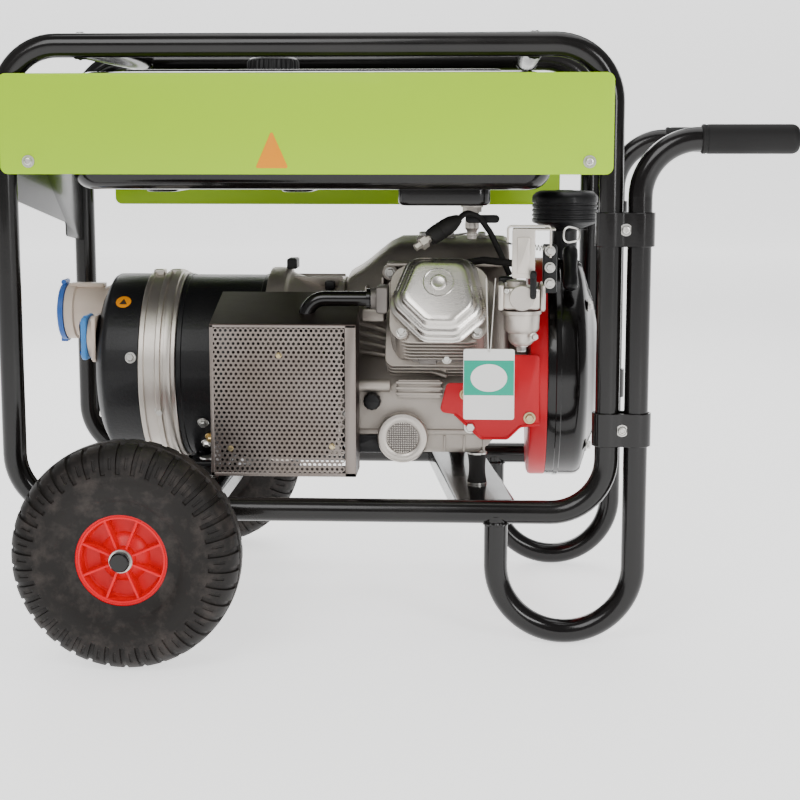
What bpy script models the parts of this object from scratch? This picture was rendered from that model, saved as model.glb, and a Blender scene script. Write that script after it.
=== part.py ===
"""Portable generator in a tube frame, with a bolted-on trolley kit.

Metres, +Z up.  X runs along the crankshaft towards the two handles, -Y is the side that the
cylinder head, the muffler guard and the carburettor face.  Every length below is measured from
the middle of the tube frame on the ground; the empty "generator" then moves the whole assembly
so that the middle of its bounding box stands over the world origin.
"""

from math import cos, pi, radians, sin, sqrt, tan

import bmesh
import bpy
from mathutils import Matrix, Vector

# ---------------------------------------------------------------- clearances and facets
GAP = 0.0003            # between two pieces that touch
RUN_GAP = 0.0005        # round a turning shaft
TUBE_SIDES = 12
BEND_STEPS = 6
TURN_STEPS = 24
SMALL_STEPS = 16
WHEEL_STEPS = 36

# ---------------------------------------------------------------- tube frame
TUBE_R = 0.014
WHEEL_R = 0.130
HOOP_X = 0.351          # post centre lines at +-HOOP_X
HOOP_Y = 0.190          # the two hoops stand at +-HOOP_Y
HOOP_H = 0.542          # between the centre lines of a hoop's bottom rail and top tube
AXLE_DROP = 0.028       # from the rails down to the axle
RAIL_Z = WHEEL_R + AXLE_DROP
TOP_Z = RAIL_Z + HOOP_H
HOOP_BEND_R = 0.065
TOP_CROSS_X = HOOP_X - HOOP_BEND_R - 0.024  # the two tubes that tie the hoops together at the top
CHANNEL_H = 0.022       # crossmembers are folded channels, open downwards
CHANNEL_WALL = 0.004
ENGINE_CROSS_X = 0.188
ENGINE_CROSS_W = 0.072
ENGINE_CROSS_SKEW = 0.022   # its front end stands this far nearer the handles, its back end less
ALT_CROSS_X = -0.140
ALT_CROSS_W = 0.056

# ---------------------------------------------------------------- panels and tank
SHEET = 0.0015
PANEL_H = 0.1145
PANEL_HALF_X = HOOP_X + 0.001
PANEL_TOP_Z = TOP_Z - 0.032
PANEL_LOW_Z = PANEL_TOP_Z - PANEL_H
PANEL_CORNER_R = 0.009
BACK_PANEL_LOW_Z = PANEL_LOW_Z - 0.049
BACK_LOW_HALF_X = HOOP_X - 0.041
LIP_HALF_X = HOOP_X - 0.047
LIP_DEPTH = 0.018
END_PLATE_FRONT_Z = PANEL_LOW_Z - 0.0285
END_PLATE_STEP_Y = 0.085
END_PLATE_STEP_Z = (PANEL_LOW_Z - 0.0695, PANEL_LOW_Z - 0.0875)
END_PLATE_BACK_Z = PANEL_LOW_Z - 0.0985
END_PLATE_T = 0.002
TANK_HALF_X = LIP_HALF_X - 0.020
TANK_HALF_Y = HOOP_Y - 0.022
TANK_LOW_Z = PANEL_LOW_Z - 0.0189
TANK_TOP_Z = PANEL_TOP_Z + 0.004
TANK_CORNER = 0.022
TANK_FLANGE = 0.016
TANK_FLANGE_T = 0.003
SUMP_X = (0.103, 0.213)
SUMP_Y = (-0.130, -0.030)
SUMP_LOW_Z = TANK_LOW_Z - 0.0196
CAP_X = -0.060
CAP_R = 0.033
CAP_H = 0.022
NECK_R = 0.024
NECK_H = 0.010
SWITCH_X = 0.200
SWITCH_Z = PANEL_TOP_Z - 0.058
SWITCH_SIZE = (0.014, 0.024)
SWITCH_DEPTH = 0.016
SWITCH_BOW = 0.005
TAP_FROM_SUMP = (0.022, 0.016)  # in from the sump's right side and its back
TAP_R = 0.009
TAP_FLANGE_R = 0.014
TAP_H = 0.044
TAP_LEVER = (0.021, 0.005)      # half length and half width

# ---------------------------------------------------------------- crank line
CRANK_Y = 0.030
CRANK_Z = RAIL_Z + 0.145
SHAFT_R = 0.0125
THROW = 0.032
WEB_R = 0.046
WEB_T = 0.018
PIN_R = 0.016
PIN_LENGTH = 0.028
CYLINDER_X = 0.153
CYLINDER_TILT = radians(30.0)

# ---------------------------------------------------------------- engine
CASE_X = (0.030, 0.2385)
CASE_OUTLINE = [        # (y, z) from the crank axis
    (-0.135, -0.091), (-0.135, -0.008), (-0.090, 0.030), (-0.070, 0.110), (-0.030, 0.160),
    (0.050, 0.168), (0.095, 0.130), (0.125, 0.075), (0.125, -0.091),
]
CASE_EDGE = 0.007
CASE_HEEL_X = 0.213     # the case's underside rises from here to its right end
CASE_HEEL_RISE = 0.030
WEB_ROOM_R = 0.056
WEB_ROOM_HALF = 0.045
BORE_R = 0.044
BARREL_HALF_X = BORE_R + 0.022
BARREL_HALF_H = BORE_R + 0.014
HEAD_D = (0.140, 0.203)     # the head's faces, measured from the crank axis along the cylinder
PISTON_D = (0.086, 0.132)
FIN_COUNT = 5
FIN_DEPTH = 0.010
COVER_OUTLINE = [       # (x, height) round the valve cover's middle
    (-0.037, 0.055), (-0.061, -0.012), (-0.019, -0.055), (0.025, -0.056), (0.059, -0.024),
    (0.042, 0.053),
]
COVER_MIDDLE = 0.004        # the valve cover's middle stands this far above the cylinder axis
COVER_STEPS = [(0.0, 1.0), (0.007, 1.0), (0.011, 0.86), (0.024, 0.80), (0.028, 0.72)]
SHROUD_X = (0.2620, 0.2850)
NECK_CASE_R = 0.055     # the case's neck that carries the shroud
SHROUD_R = 0.140
SHROUD_WALL = 0.004
FAN_X = (SHROUD_X[0] + 0.007, SHROUD_X[1] - 0.004)
FAN_R = 0.118
FAN_HUB_R = 0.035
FAN_WEB_T = 0.005
RECOIL_X = (SHROUD_X[1] + GAP, 0.3490)
RECOIL_R = 0.140
RECOIL_WALL = 0.003
DEFLECTOR_T = 0.003
DEFLECTOR_LOW = [       # (x, z from the crank axis) round the left and lower edges of the deflector
    (0.153, -0.039), (0.173, -0.042), (0.204, -0.071), (0.236, -0.071), (0.2515, -0.056), (0.275, -0.053),
]
DEFLECTOR_TOP = 0.032   # beside the barrel, above the crank axis
DEFLECTOR_ROOM = 0.0096     # from the barrel's lower edge down to the deflector
GRIP_PULL = (-0.900, 0.436)     # (y, z) direction in which the starter grip is pulled
GRIP_FROM_AXIS = (-0.1008, 0.1344)
PULL_X = 0.312
PULL_GRIP_R = 0.0095
PULL_GRIP_HALF = 0.028
ROPE_R = 0.0025
ROPE_LENGTH = 0.028
AIR_X = 0.3085
AIR_Y = 0.020
AIR_R = 0.040
AIR_Z = (CRANK_Z + RECOIL_R + 0.0455, CRANK_Z + RECOIL_R + 0.087)
AIR_NECK_R = 0.016
CARB_LEFT_X = CYLINDER_X + BARREL_HALF_X + 0.004
CARB_X = (CARB_LEFT_X, CARB_LEFT_X + 0.056)
CARB_Y = (-0.165, -0.112)
CARB_Z = (CRANK_Z + 0.0895, CRANK_Z + 0.122)
BOWL_X = CARB_LEFT_X + 0.0285
BOWL_Y = -0.1385
BOWL_R = 0.0235
BOWL_LOW_Z = CARB_Z[0] - 0.0475
CHOKE_PIVOT = (CARB_LEFT_X + 0.041, CARB_Z[0] + 0.0195)
CHOKE_LENGTH = 0.034
BOOT_ROOT = (-0.012, 0.2108, 0.0202)    # x from the cylinder, along it, and above the barrel
LEAD_POINTS = [         # from the crank axis at the cylinder
    (0.023, -0.128, 0.196), (0.031, -0.120, 0.203), (0.047, -0.106, 0.197), (0.061, -0.098, 0.177),
    (0.073, -0.096, 0.152), (0.085, -0.094, 0.125),
]
LEAD_R = 0.0035
DIPSTICK_X = 0.071
DIPSTICK_Z = CRANK_Z - 0.026
DIPSTICK_R = 0.011
VENT_X = 0.1087
VENT_Z = CRANK_Z - 0.0695
VENT_R = 0.031
VENT_DEPTH = 0.019

# ---------------------------------------------------------------- exhaust
GUARD_X = (-0.1185, 0.0554)
GUARD_FRONT_Y = -0.170
GUARD_SIDE_Y = -0.110
GUARD_BACK_Y = -0.062
GUARD_Z = (CRANK_Z - 0.109, CRANK_Z + 0.073)
GUARD_BACK_Z = CRANK_Z + 0.102
GUARD_T = 0.002
MUFFLER_X = (-0.105, 0.030)
MUFFLER_Y = (GUARD_FRONT_Y + 0.008, -0.112)
MUFFLER_Z = (GUARD_Z[0] + 0.021, GUARD_Z[1] - 0.031)
PIPE_R = 0.009
PIPE_X = -0.008
PIPE_Y = -0.128
PIPE_Z = CRANK_Z + 0.101
PIPE_BEND_R = 0.024

# ---------------------------------------------------------------- alternator
END_COVER_X = (-0.280, -0.2223)
END_COVER_CHAMFER = (0.012, 0.022)
BAND_X = (END_COVER_X[1] + GAP, -0.1760)
ALT_X = (BAND_X[1] + GAP, -0.0680)
BRACKET_X = (ALT_X[1] + GAP, CASE_X[0] - GAP)
ALT_R = 0.118
BAND_R = ALT_R + 0.006
BRACKET_R = ALT_R + 0.009
ALT_BORE_R = ALT_R - 0.018
COVER_WALL = 0.003
WEB_WALL = 0.012
STATOR_X = (ALT_X[0] + 0.008, ALT_X[1] - 0.022)
STATOR_BORE_R = 0.0725
ROTOR_X = (STATOR_X[0] + 0.004, STATOR_X[1] - 0.004)
ROTOR_R = 0.070
FOOT_SPREAD = 0.085
FOOT_HALF_X = 0.026
FOOT_T = 0.006
FOOT_Z = CRANK_Z - 0.1075
MOUNT_R = 0.012
ENGINE_MOUNT_FRONT_Y = -0.092
ENGINE_MOUNT_BACK_Y = 0.138
BIG_SOCKET = (0.060, CRANK_Z + 0.065)   # (y, z)
BIG_SOCKET_R = 0.036
BIG_SOCKET_DEPTH = 0.063
BIG_LID_T = 0.011
SOCKET_WELL_DEPTH = 0.022
SOCKET_WALL = 0.006
SMALL_SOCKET = (-0.036, CRANK_Z + 0.042)
SMALL_SOCKET_HALF = 0.029
SMALL_SOCKET_DEPTH = 0.012
SMALL_LID_T = 0.009
BREAKER = (0.020, CRANK_Z - 0.041)
BREAKER_R = 0.006
BREAKER_OUT = 0.007
BREAKER_IN = 0.010
BREAKER_TRAVEL = 0.003

# ---------------------------------------------------------------- trolley kit
WHEEL_W = 0.085
WHEEL_Y = 0.300
AXLE_X = 0.157 - HOOP_X
AXLE_R = 0.010
RIM_R = 0.0520          # tyre seat
HUB_FLANGE_R = 0.0560
HUB_LENGTH = 0.076
COLLAR_R = 0.016
NUT_R = 0.0125
NUT_T = 0.008
SADDLE_HALF_X = 0.024
SADDLE_HALF_Y = TUBE_R + 0.003
SADDLE_TOP_Z = RAIL_Z + 0.002
SADDLE_LOW_Z = WHEEL_R - 0.017
BAR_GAP = 0.0055        # between the post and the bar beside it
BAR_X = HOOP_X + 2 * TUBE_R + BAR_GAP
FOOT_LEG_X = BAR_X - 0.1625
BAR_TOP_Z = TOP_Z - 0.1065
BAR_TOP_BEND_R = 0.066
FOOT_FLAT = 0.0006       # worn off the lowest stretch of the foot, where it stands
BAR_END_X = BAR_X + 0.1715
GRIP_X = (BAR_X + 0.0675, BAR_X + 0.1775)
GRIP_R = TUBE_R + 0.0028
CLAMP_Z = (TOP_Z - 0.209, RAIL_Z + 0.1008)
CLAMP_H = 0.039
CLAMP_T = 0.0032
CLAMP_ARC_STEPS = 4
CLAMP_BOLT_R = 0.0022
CLAMP_HEAD_R = 0.0065
CLAMP_HEAD_T = 0.005

# ---------------------------------------------------------------- worked out from the above
RAIL_TOP_Z = RAIL_Z + TUBE_R
CROSS_END_Y = HOOP_Y - TUBE_R - GAP
PANEL_Y = HOOP_Y + TUBE_R + GAP
GRIP_END_X = GRIP_X[1]
MIDDLE_X = (GRIP_END_X - HOOP_X - TUBE_R) / 2
CASE_LOW_Z = CRANK_Z + CASE_OUTLINE[0][1]
CASE_FRONT_Y = CRANK_Y + CASE_OUTLINE[0][0]
BARREL_RIGHT_X = CYLINDER_X + BARREL_HALF_X
BARREL_LOW_Z = CRANK_Z + HEAD_D[0] * sin(CYLINDER_TILT) - BARREL_HALF_H * cos(CYLINDER_TILT)
U_X = (FOOT_LEG_X + BAR_X) / 2
U_R = (BAR_X - FOOT_LEG_X) / 2

# ---------------------------------------------------------------- finishes: colour, roughness, metallic
FINISHES = {
    "black_paint": ((0.012, 0.011, 0.010), 0.25, 0.0),
    "lime_paint": ((0.62, 0.82, 0.10), 0.35, 0.0),
    "red_paint": ((0.62, 0.01, 0.03), 0.35, 0.0),
    "cast_alloy": ((0.50, 0.46, 0.42), 0.45, 0.9),
    "pressed_steel": ((0.60, 0.56, 0.51), 0.30, 1.0),
    "guard_steel": ((0.21, 0.17, 0.14), 0.45, 0.8),
    "bare_steel": ((0.45, 0.44, 0.42), 0.35, 1.0),
    "dark_plastic": ((0.015, 0.015, 0.016), 0.55, 0.0),
    "rubber": ((0.020, 0.018, 0.017), 0.75, 0.0),
    "tyre_rubber": ((0.022, 0.018, 0.016), 0.70, 0.0),
    "red_plastic": ((0.68, 0.03, 0.04), 0.35, 0.0),
    "cream_plastic": ((0.66, 0.52, 0.42), 0.45, 0.0),
    "blue_plastic": ((0.07, 0.17, 0.40), 0.40, 0.0),
    "sky_plastic": ((0.11, 0.30, 0.62), 0.40, 0.0),
    "copper": ((0.50, 0.20, 0.09), 0.40, 1.0),
}


# ================================================================ helpers
def clear_scene():
    for obj in list(bpy.data.objects):
        bpy.data.objects.remove(obj)


def finish_material(name):
    """The shared Principled material of one finish."""
    material = bpy.data.materials.get(name)
    if material is None:
        colour, roughness, metallic = FINISHES[name]
        material = bpy.data.materials.new(name)
        material.use_nodes = True
        shader = material.node_tree.nodes["Principled BSDF"]
        shader.inputs["Base Color"].default_value = (*colour, 1.0)
        shader.inputs["Roughness"].default_value = roughness
        shader.inputs["Metallic"].default_value = metallic
    return material


def add_solid(name, points, faces, finish, pivot=(0.0, 0.0, 0.0), smooth=True):
    """A closed mesh from frame coordinates, with its origin at the pivot."""
    pivot = Vector(pivot)
    mesh = bpy.data.meshes.new(name)
    mesh.from_pydata([Vector(p) - pivot for p in points], [], faces)
    work = bmesh.new()
    work.from_mesh(mesh)
    bmesh.ops.recalc_face_normals(work, faces=work.faces)
    work.to_mesh(mesh)
    work.free()
    if smooth:
        mesh.shade_smooth()
        mesh.set_sharp_from_angle(angle=radians(35))
    mesh.materials.append(finish_material(finish))
    obj = bpy.data.objects.new(name, mesh)
    obj.location = pivot
    obj.parent = bpy.data.objects["generator"]
    bpy.context.scene.collection.objects.link(obj)
    return obj


def box(name, low, high, finish, pivot=(0.0, 0.0, 0.0)):
    """An upright box from its lowest to its highest corner."""
    points = [(x, y, z) for x in (low[0], high[0]) for y in (low[1], high[1]) for z in (low[2], high[2])]
    faces = [(0, 1, 3, 2), (4, 6, 7, 5), (0, 4, 5, 1), (2, 3, 7, 6), (0, 2, 6, 4), (1, 5, 7, 3)]
    return add_solid(name, points, faces, finish, pivot, smooth=False)


def prism(name, outline, axis, start, end, finish, pivot=(0.0, 0.0, 0.0)):
    """An outline in the plane across the axis, extruded from start to end along it."""
    place = {
        "X": lambda a, b, t: (t, a, b),
        "Y": lambda a, b, t: (a, t, b),
        "Z": lambda a, b, t: (a, b, t),
    }[axis]
    count = len(outline)
    points = [place(a, b, t) for t in (start, end) for a, b in outline]
    faces = [tuple(range(count)), tuple(range(2 * count - 1, count - 1, -1))]
    faces += [(i, (i + 1) % count, count + (i + 1) % count, count + i) for i in range(count)]
    return add_solid(name, points, faces, finish, pivot)


def turned(name, profile, centre, axis, finish, steps=TURN_STEPS, pivot=None):
    """A turned solid: (distance along the axis, radius) points from axis to axis, or a closed ring."""
    centre = Vector(centre)
    turn = Vector((0, 0, 1)).rotation_difference(Vector(axis)).to_matrix()
    points = []
    rings = []
    for along, radius in profile:
        count = steps if radius > 0 else 1
        rings.append(range(len(points), len(points) + count))
        for i in range(count):
            angle = 2 * pi * i / steps
            points.append(centre + turn @ Vector((radius * cos(angle), radius * sin(angle), along)))
    pairs = list(zip(rings, rings[1:]))
    if profile[0][1] > 0:
        pairs.append((rings[-1], rings[0]))
    faces = []
    for first, second in pairs:
        for i in range(steps):
            j = (i + 1) % steps
            corners = [first[i % len(first)], first[j % len(first)]]
            corners += [second[j % len(second)], second[i % len(second)]]
            faces.append(tuple(dict.fromkeys(corners)))
    return add_solid(name, points, faces, finish, centre if pivot is None else pivot)


def rod(name, start, end, radius, finish, steps=SMALL_STEPS, pivot=None):
    """A plain round bar between two points."""
    start = Vector(start)
    reach = Vector(end) - start
    profile = [(0, 0), (0, radius), (reach.length, radius), (reach.length, 0)]
    return turned(name, profile, start, reach, finish, steps, pivot)


def room(name, start, end, radius):
    """A cutter for a round bar: its flats, not its corners, clear the radius."""
    return rod(name, start, end, radius / cos(pi / TURN_STEPS), "black_paint", TURN_STEPS)


def bent_tube(name, path, radius, finish, closed=False, sides=TUBE_SIDES):
    """A round tube swept along a path, each ring turned to face halfway between its neighbours."""
    path = [Vector(p) for p in path]
    count = len(path)
    ways = []
    for i in range(count):
        before = path[i - 1] if closed or i else path[i]
        after = path[(i + 1) % count] if closed or i < count - 1 else path[i]
        ways.append((after - before).normalized())
    side = ways[0].orthogonal().normalized()
    points = []
    for point, way in zip(path, ways):
        side = (side - way * side.dot(way)).normalized()
        other = way.cross(side)
        for i in range(sides):
            angle = 2 * pi * i / sides
            points.append(point + radius * (cos(angle) * side + sin(angle) * other))
    faces = []
    for ring in range(count if closed else count - 1):
        first = ring * sides
        second = (ring + 1) % count * sides
        for i in range(sides):
            j = (i + 1) % sides
            faces.append((first + i, first + j, second + j, second + i))
    if not closed:
        faces += [tuple(range(sides)), tuple(range(len(points) - sides, len(points)))]
    return add_solid(name, points, faces, finish)


def rounded_path(corners, radius, closed=False, steps=BEND_STEPS):
    """The corner points of a bent tube, each inner corner replaced by an arc of the bend radius."""
    corners = [Vector(c) for c in corners]
    count = len(corners)
    path = []
    for i, corner in enumerate(corners):
        if not closed and i in (0, count - 1):
            path.append(corner)
            continue
        back = (corners[i - 1] - corner).normalized()
        ahead = (corners[(i + 1) % count] - corner).normalized()
        half = back.angle(ahead) / 2
        centre = corner + (back + ahead).normalized() * (radius / sin(half))
        start = corner + back * (radius / tan(half)) - centre
        axis = start.cross(corner + ahead * (radius / tan(half)) - centre)
        for k in range(steps + 1):
            turn = Matrix.Rotation((pi - 2 * half) * k / steps, 3, axis)
            path.append(centre + turn @ start)
    return path


def strip_outline(path, thickness):
    """The closed outline of a folded sheet: a 2-D path and the same path set off to its left."""
    inner = []
    for i, (a, b) in enumerate(path):
        before = path[max(i - 1, 0)]
        after = path[min(i + 1, len(path) - 1)]
        if i == 0:
            before = (2 * a - after[0], 2 * b - after[1])
        if i == len(path) - 1:
            after = (2 * a - before[0], 2 * b - before[1])
        one = Vector((a - before[0], b - before[1])).normalized()
        two = Vector((after[0] - a, after[1] - b)).normalized()
        normal = Vector((-one.y - two.y, one.x + two.x)).normalized()
        reach = thickness / normal.dot(Vector((-one.y, one.x)))
        inner.append((a + normal.x * reach, b + normal.y * reach))
    return list(path) + inner[::-1]


def rounded_rectangle(half_a, half_b, radius, middle=(0.0, 0.0), steps=4):
    """A rectangle outline with round corners, anticlockwise."""
    outline = []
    for quarter, (sa, sb) in enumerate([(1, 1), (-1, 1), (-1, -1), (1, -1)]):
        for k in range(steps + 1):
            angle = pi / 2 * (quarter + k / steps)
            a = middle[0] + sa * (half_a - radius) + radius * cos(angle)
            b = middle[1] + sb * (half_b - radius) + radius * sin(angle)
            outline.append((a, b))
    return outline


def join_by(obj, helper, operation):
    """Adds a Boolean with a hidden helper solid: UNION or DIFFERENCE."""
    modifier = obj.modifiers.new(operation.lower(), "BOOLEAN")
    modifier.operation = operation
    modifier.solver = "EXACT"
    modifier.object = helper
    helper.hide_render = True
    helper.display_type = "WIRE"
    return obj


def cut(obj, *helpers):
    for helper in helpers:
        join_by(obj, helper, "DIFFERENCE")
    return obj


def unite(obj, *helpers):
    for helper in helpers:
        join_by(obj, helper, "UNION")
    return obj


def soften(obj, width, segments=2):
    """Rounds the sharp edges of a casting or a moulding."""
    modifier = obj.modifiers.new("soft_edges", "BEVEL")
    modifier.width = width
    modifier.segments = segments
    modifier.limit_method = "ANGLE"
    modifier.angle_limit = radians(30)
    return obj


def on_cylinder(along, height):
    """(y, z) of a point at a distance along the tilted cylinder and a height across it."""
    y = CRANK_Y - along * cos(CYLINDER_TILT) + height * sin(CYLINDER_TILT)
    z = CRANK_Z + along * sin(CYLINDER_TILT) + height * cos(CYLINDER_TILT)
    return y, z


def cylinder_block(name, along, height, x_range, finish):
    """A box squared up with the tilted cylinder."""
    corners = [(along[0], height[0]), (along[1], height[0]), (along[1], height[1]), (along[0], height[1])]
    return prism(name, [on_cylinder(*c) for c in corners], "X", *x_range, finish)


# ================================================================ tube frame
def make_hoops():
    for side, sign in (("front", -1), ("back", 1)):
        y = sign * HOOP_Y
        corners = [(-HOOP_X, y, RAIL_Z), (HOOP_X, y, RAIL_Z), (HOOP_X, y, TOP_Z), (-HOOP_X, y, TOP_Z)]
        path = rounded_path(corners, HOOP_BEND_R, closed=True)
        bent_tube(f"frame_hoop_{side}", path, TUBE_R, "black_paint", closed=True)


def make_top_cross_tubes():
    """Straight tubes between the hoops, each end mitred round the tube it is welded to."""
    for side, sign in (("left", -1), ("right", 1)):
        x = sign * TOP_CROSS_X
        tube = rod(f"top_cross_tube_{side}", (x, -HOOP_Y, TOP_Z), (x, HOOP_Y, TOP_Z), TUBE_R,
                   "black_paint", TUBE_SIDES)
        for end in (-1, 1):
            start = (x - 3 * TUBE_R, end * HOOP_Y, TOP_Z)
            stop = (x + 3 * TUBE_R, end * HOOP_Y, TOP_Z)
            cut(tube, room(f"mitre_{side}_{end}", start, stop, TUBE_R + GAP))


def make_channel(name, x, width, skew):
    """A folded channel between the two bottom rails, leaning by the skew at each end."""
    low = RAIL_TOP_Z - CHANNEL_H

    def slab(label, half, y, bottom, top):
        lean = skew * y / CROSS_END_Y
        outline = [(x - half + lean, -y), (x + half + lean, -y), (x + half - lean, y), (x - half - lean, y)]
        return prism(label, outline, "Z", bottom, top, "black_paint")

    channel = slab(name, width / 2, CROSS_END_Y, low, RAIL_TOP_Z)
    inside = slab(f"{name}_inside", width / 2 - CHANNEL_WALL, 2 * HOOP_Y, low - CHANNEL_H,
                  RAIL_TOP_Z - CHANNEL_WALL)
    cut(channel, inside)


def make_mounts():
    """Rubber mounts: two under the engine's base, two under the alternator's feet."""
    slope = ENGINE_CROSS_SKEW / CROSS_END_Y
    for side, y in (("front", ENGINE_MOUNT_FRONT_Y), ("back", ENGINE_MOUNT_BACK_Y)):
        x = ENGINE_CROSS_X - slope * y
        rod(f"engine_mount_{side}", (x, y, RAIL_TOP_Z + GAP), (x, y, CASE_LOW_Z - GAP), MOUNT_R, "rubber")
    for side, sign in (("front", -1), ("back", 1)):
        y = CRANK_Y + sign * FOOT_SPREAD
        rod(f"alternator_mount_{side}", (ALT_CROSS_X, y, RAIL_TOP_Z + GAP),
            (ALT_CROSS_X, y, FOOT_Z - GAP), MOUNT_R, "rubber")


# ================================================================ panels and tank
def make_side_panels():
    """Painted side sheets, each with a lip along its lower edge that carries the tank."""
    middle_z = (PANEL_LOW_Z + PANEL_TOP_Z) / 2
    front = rounded_rectangle(PANEL_HALF_X, (PANEL_TOP_Z - PANEL_LOW_Z) / 2, PANEL_CORNER_R, (0, middle_z))
    back = [(-PANEL_HALF_X, PANEL_TOP_Z), (-PANEL_HALF_X, PANEL_LOW_Z), (-BACK_LOW_HALF_X, PANEL_LOW_Z),
            (-BACK_LOW_HALF_X, BACK_PANEL_LOW_Z), (BACK_LOW_HALF_X, BACK_PANEL_LOW_Z),
            (BACK_LOW_HALF_X, PANEL_LOW_Z), (PANEL_HALF_X, PANEL_LOW_Z), (PANEL_HALF_X, PANEL_TOP_Z)]
    for side, sign, outline in (("front", -1, front), ("back", 1, back)):
        near, far = sorted((sign * PANEL_Y, sign * (PANEL_Y + SHEET)))
        panel = prism(f"side_panel_{side}", outline, "Y", near, far, "lime_paint")
        inner, outer = sorted((sign * (PANEL_Y - LIP_DEPTH), sign * (PANEL_Y + SHEET / 2)))
        for z in (PANEL_LOW_Z, PANEL_TOP_Z - SHEET):
            low = (-LIP_HALF_X, inner, z + SHEET * 0.02)
            unite(panel, box(f"lip_{side}_{z:.3f}", low, (LIP_HALF_X, outer, z + SHEET * 0.98),
                             "lime_paint"))
        if side == "back":
            half_x, half_z = (s + GAP for s in SWITCH_SIZE)
            cut(panel, box("switch_hole", (SWITCH_X - half_x, near - SHEET, SWITCH_Z - half_z),
                           (SWITCH_X + half_x, far + SHEET, SWITCH_Z + half_z), "lime_paint"))


def make_end_plate():
    """The black plate between the left posts, cut lower towards the back."""
    y = CROSS_END_Y
    outline = [(-y, END_PLATE_FRONT_Z), (END_PLATE_STEP_Y, END_PLATE_STEP_Z[0]),
               (END_PLATE_STEP_Y, END_PLATE_STEP_Z[1]), (y, END_PLATE_BACK_Z), (y, PANEL_TOP_Z),
               (-y, PANEL_TOP_Z)]
    prism("end_plate_left", outline, "X", -HOOP_X - END_PLATE_T / 2, -HOOP_X + END_PLATE_T / 2,
          "black_paint")


def make_tank():
    """Two pressed halves on a seam flange, a sump under the front right and a filler neck on top."""
    tank = box("fuel_tank", (-TANK_HALF_X, -TANK_HALF_Y, TANK_LOW_Z), (TANK_HALF_X, TANK_HALF_Y,
                                                                       TANK_TOP_Z),
               "black_paint")
    soften(tank, TANK_CORNER, 3)
    seat_z = PANEL_LOW_Z + SHEET + GAP
    outline = rounded_rectangle(TANK_HALF_X + TANK_FLANGE, TANK_HALF_Y + TANK_FLANGE, TANK_CORNER)
    unite(tank, prism("tank_flange", outline, "Z", seat_z, seat_z + TANK_FLANGE_T, "black_paint"))
    low = (SUMP_X[0], SUMP_Y[0], SUMP_LOW_Z)
    sump = box("tank_sump", low, (SUMP_X[1], SUMP_Y[1], TANK_LOW_Z + TANK_CORNER), "black_paint")
    unite(tank, soften(sump, TANK_CORNER / 3))
    neck_top = TANK_TOP_Z + NECK_H
    unite(tank, rod("tank_neck", (CAP_X, 0, TANK_TOP_Z - NECK_H), (CAP_X, 0, neck_top), NECK_R,
                    "black_paint",
                    TURN_STEPS))
    low = neck_top + GAP - CAP_H / 3
    profile = [(neck_top + GAP, 0), (neck_top + GAP, NECK_R + GAP), (low, NECK_R + GAP), (low, CAP_R),
               (neck_top + CAP_H / 2, CAP_R), (neck_top + CAP_H * 0.6, CAP_R * 0.9),
               (neck_top + CAP_H * 0.6, 0)]
    turned("fuel_cap", profile, (CAP_X, 0, 0), (0, 0, 1), "dark_plastic", TURN_STEPS, (CAP_X, 0, neck_top))


def make_fuel_tap():
    """The tap under the sump, with the lever that turns on the front of it."""
    x = SUMP_X[1] - TAP_FROM_SUMP[0]
    y = SUMP_Y[1] - TAP_FROM_SUMP[1]
    top = SUMP_LOW_Z - GAP
    stem = TAP_R * 2 / 3
    profile = [(top, 0), (top, TAP_FLANGE_R), (top - 0.004, TAP_FLANGE_R), (top - 0.006, TAP_R),
               (top - 0.030, TAP_R), (top - 0.034, stem), (top - TAP_H, stem), (top - TAP_H, 0)]
    turned("fuel_tap_body", profile, (x, y, 0), (0, 0, 1), "cast_alloy", SMALL_STEPS)
    front = y - TAP_R - GAP
    pivot = (x, front, top - 2 * TAP_R)
    half_length, half_width = TAP_LEVER
    outline = rounded_rectangle(half_length, half_width, half_width * 0.9, (x + 0.013, pivot[2]))
    lever = prism("fuel_tap_lever", outline, "Y", front - 0.007, front - 0.003, "dark_plastic", pivot)
    unite(lever, rod("tap_spindle", (x, front - 0.005, pivot[2]), (x, front, pivot[2]), 0.004,
                     "dark_plastic"))


def make_engine_switch():
    """A rocker in the back panel, hinged on the X axis through its middle."""
    y = PANEL_Y
    half_x, half_z = SWITCH_SIZE
    pivot = (SWITCH_X, y, SWITCH_Z)
    bow = SWITCH_BOW
    outline = [(y - SWITCH_DEPTH / 2, SWITCH_Z - half_z * 0.5), (y + SHEET, SWITCH_Z - half_z + GAP),
               (y + SHEET + bow, SWITCH_Z - half_z * 0.92), (y + SHEET + bow * 0.4, SWITCH_Z),
               (y + SHEET + bow * 0.7, SWITCH_Z + half_z * 0.9), (y + SHEET, SWITCH_Z + half_z - GAP),
               (y - SWITCH_DEPTH / 2, SWITCH_Z + half_z * 0.5)]
    prism("engine_switch", outline, "X", SWITCH_X - half_x, SWITCH_X + half_x, "red_plastic", pivot)


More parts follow.
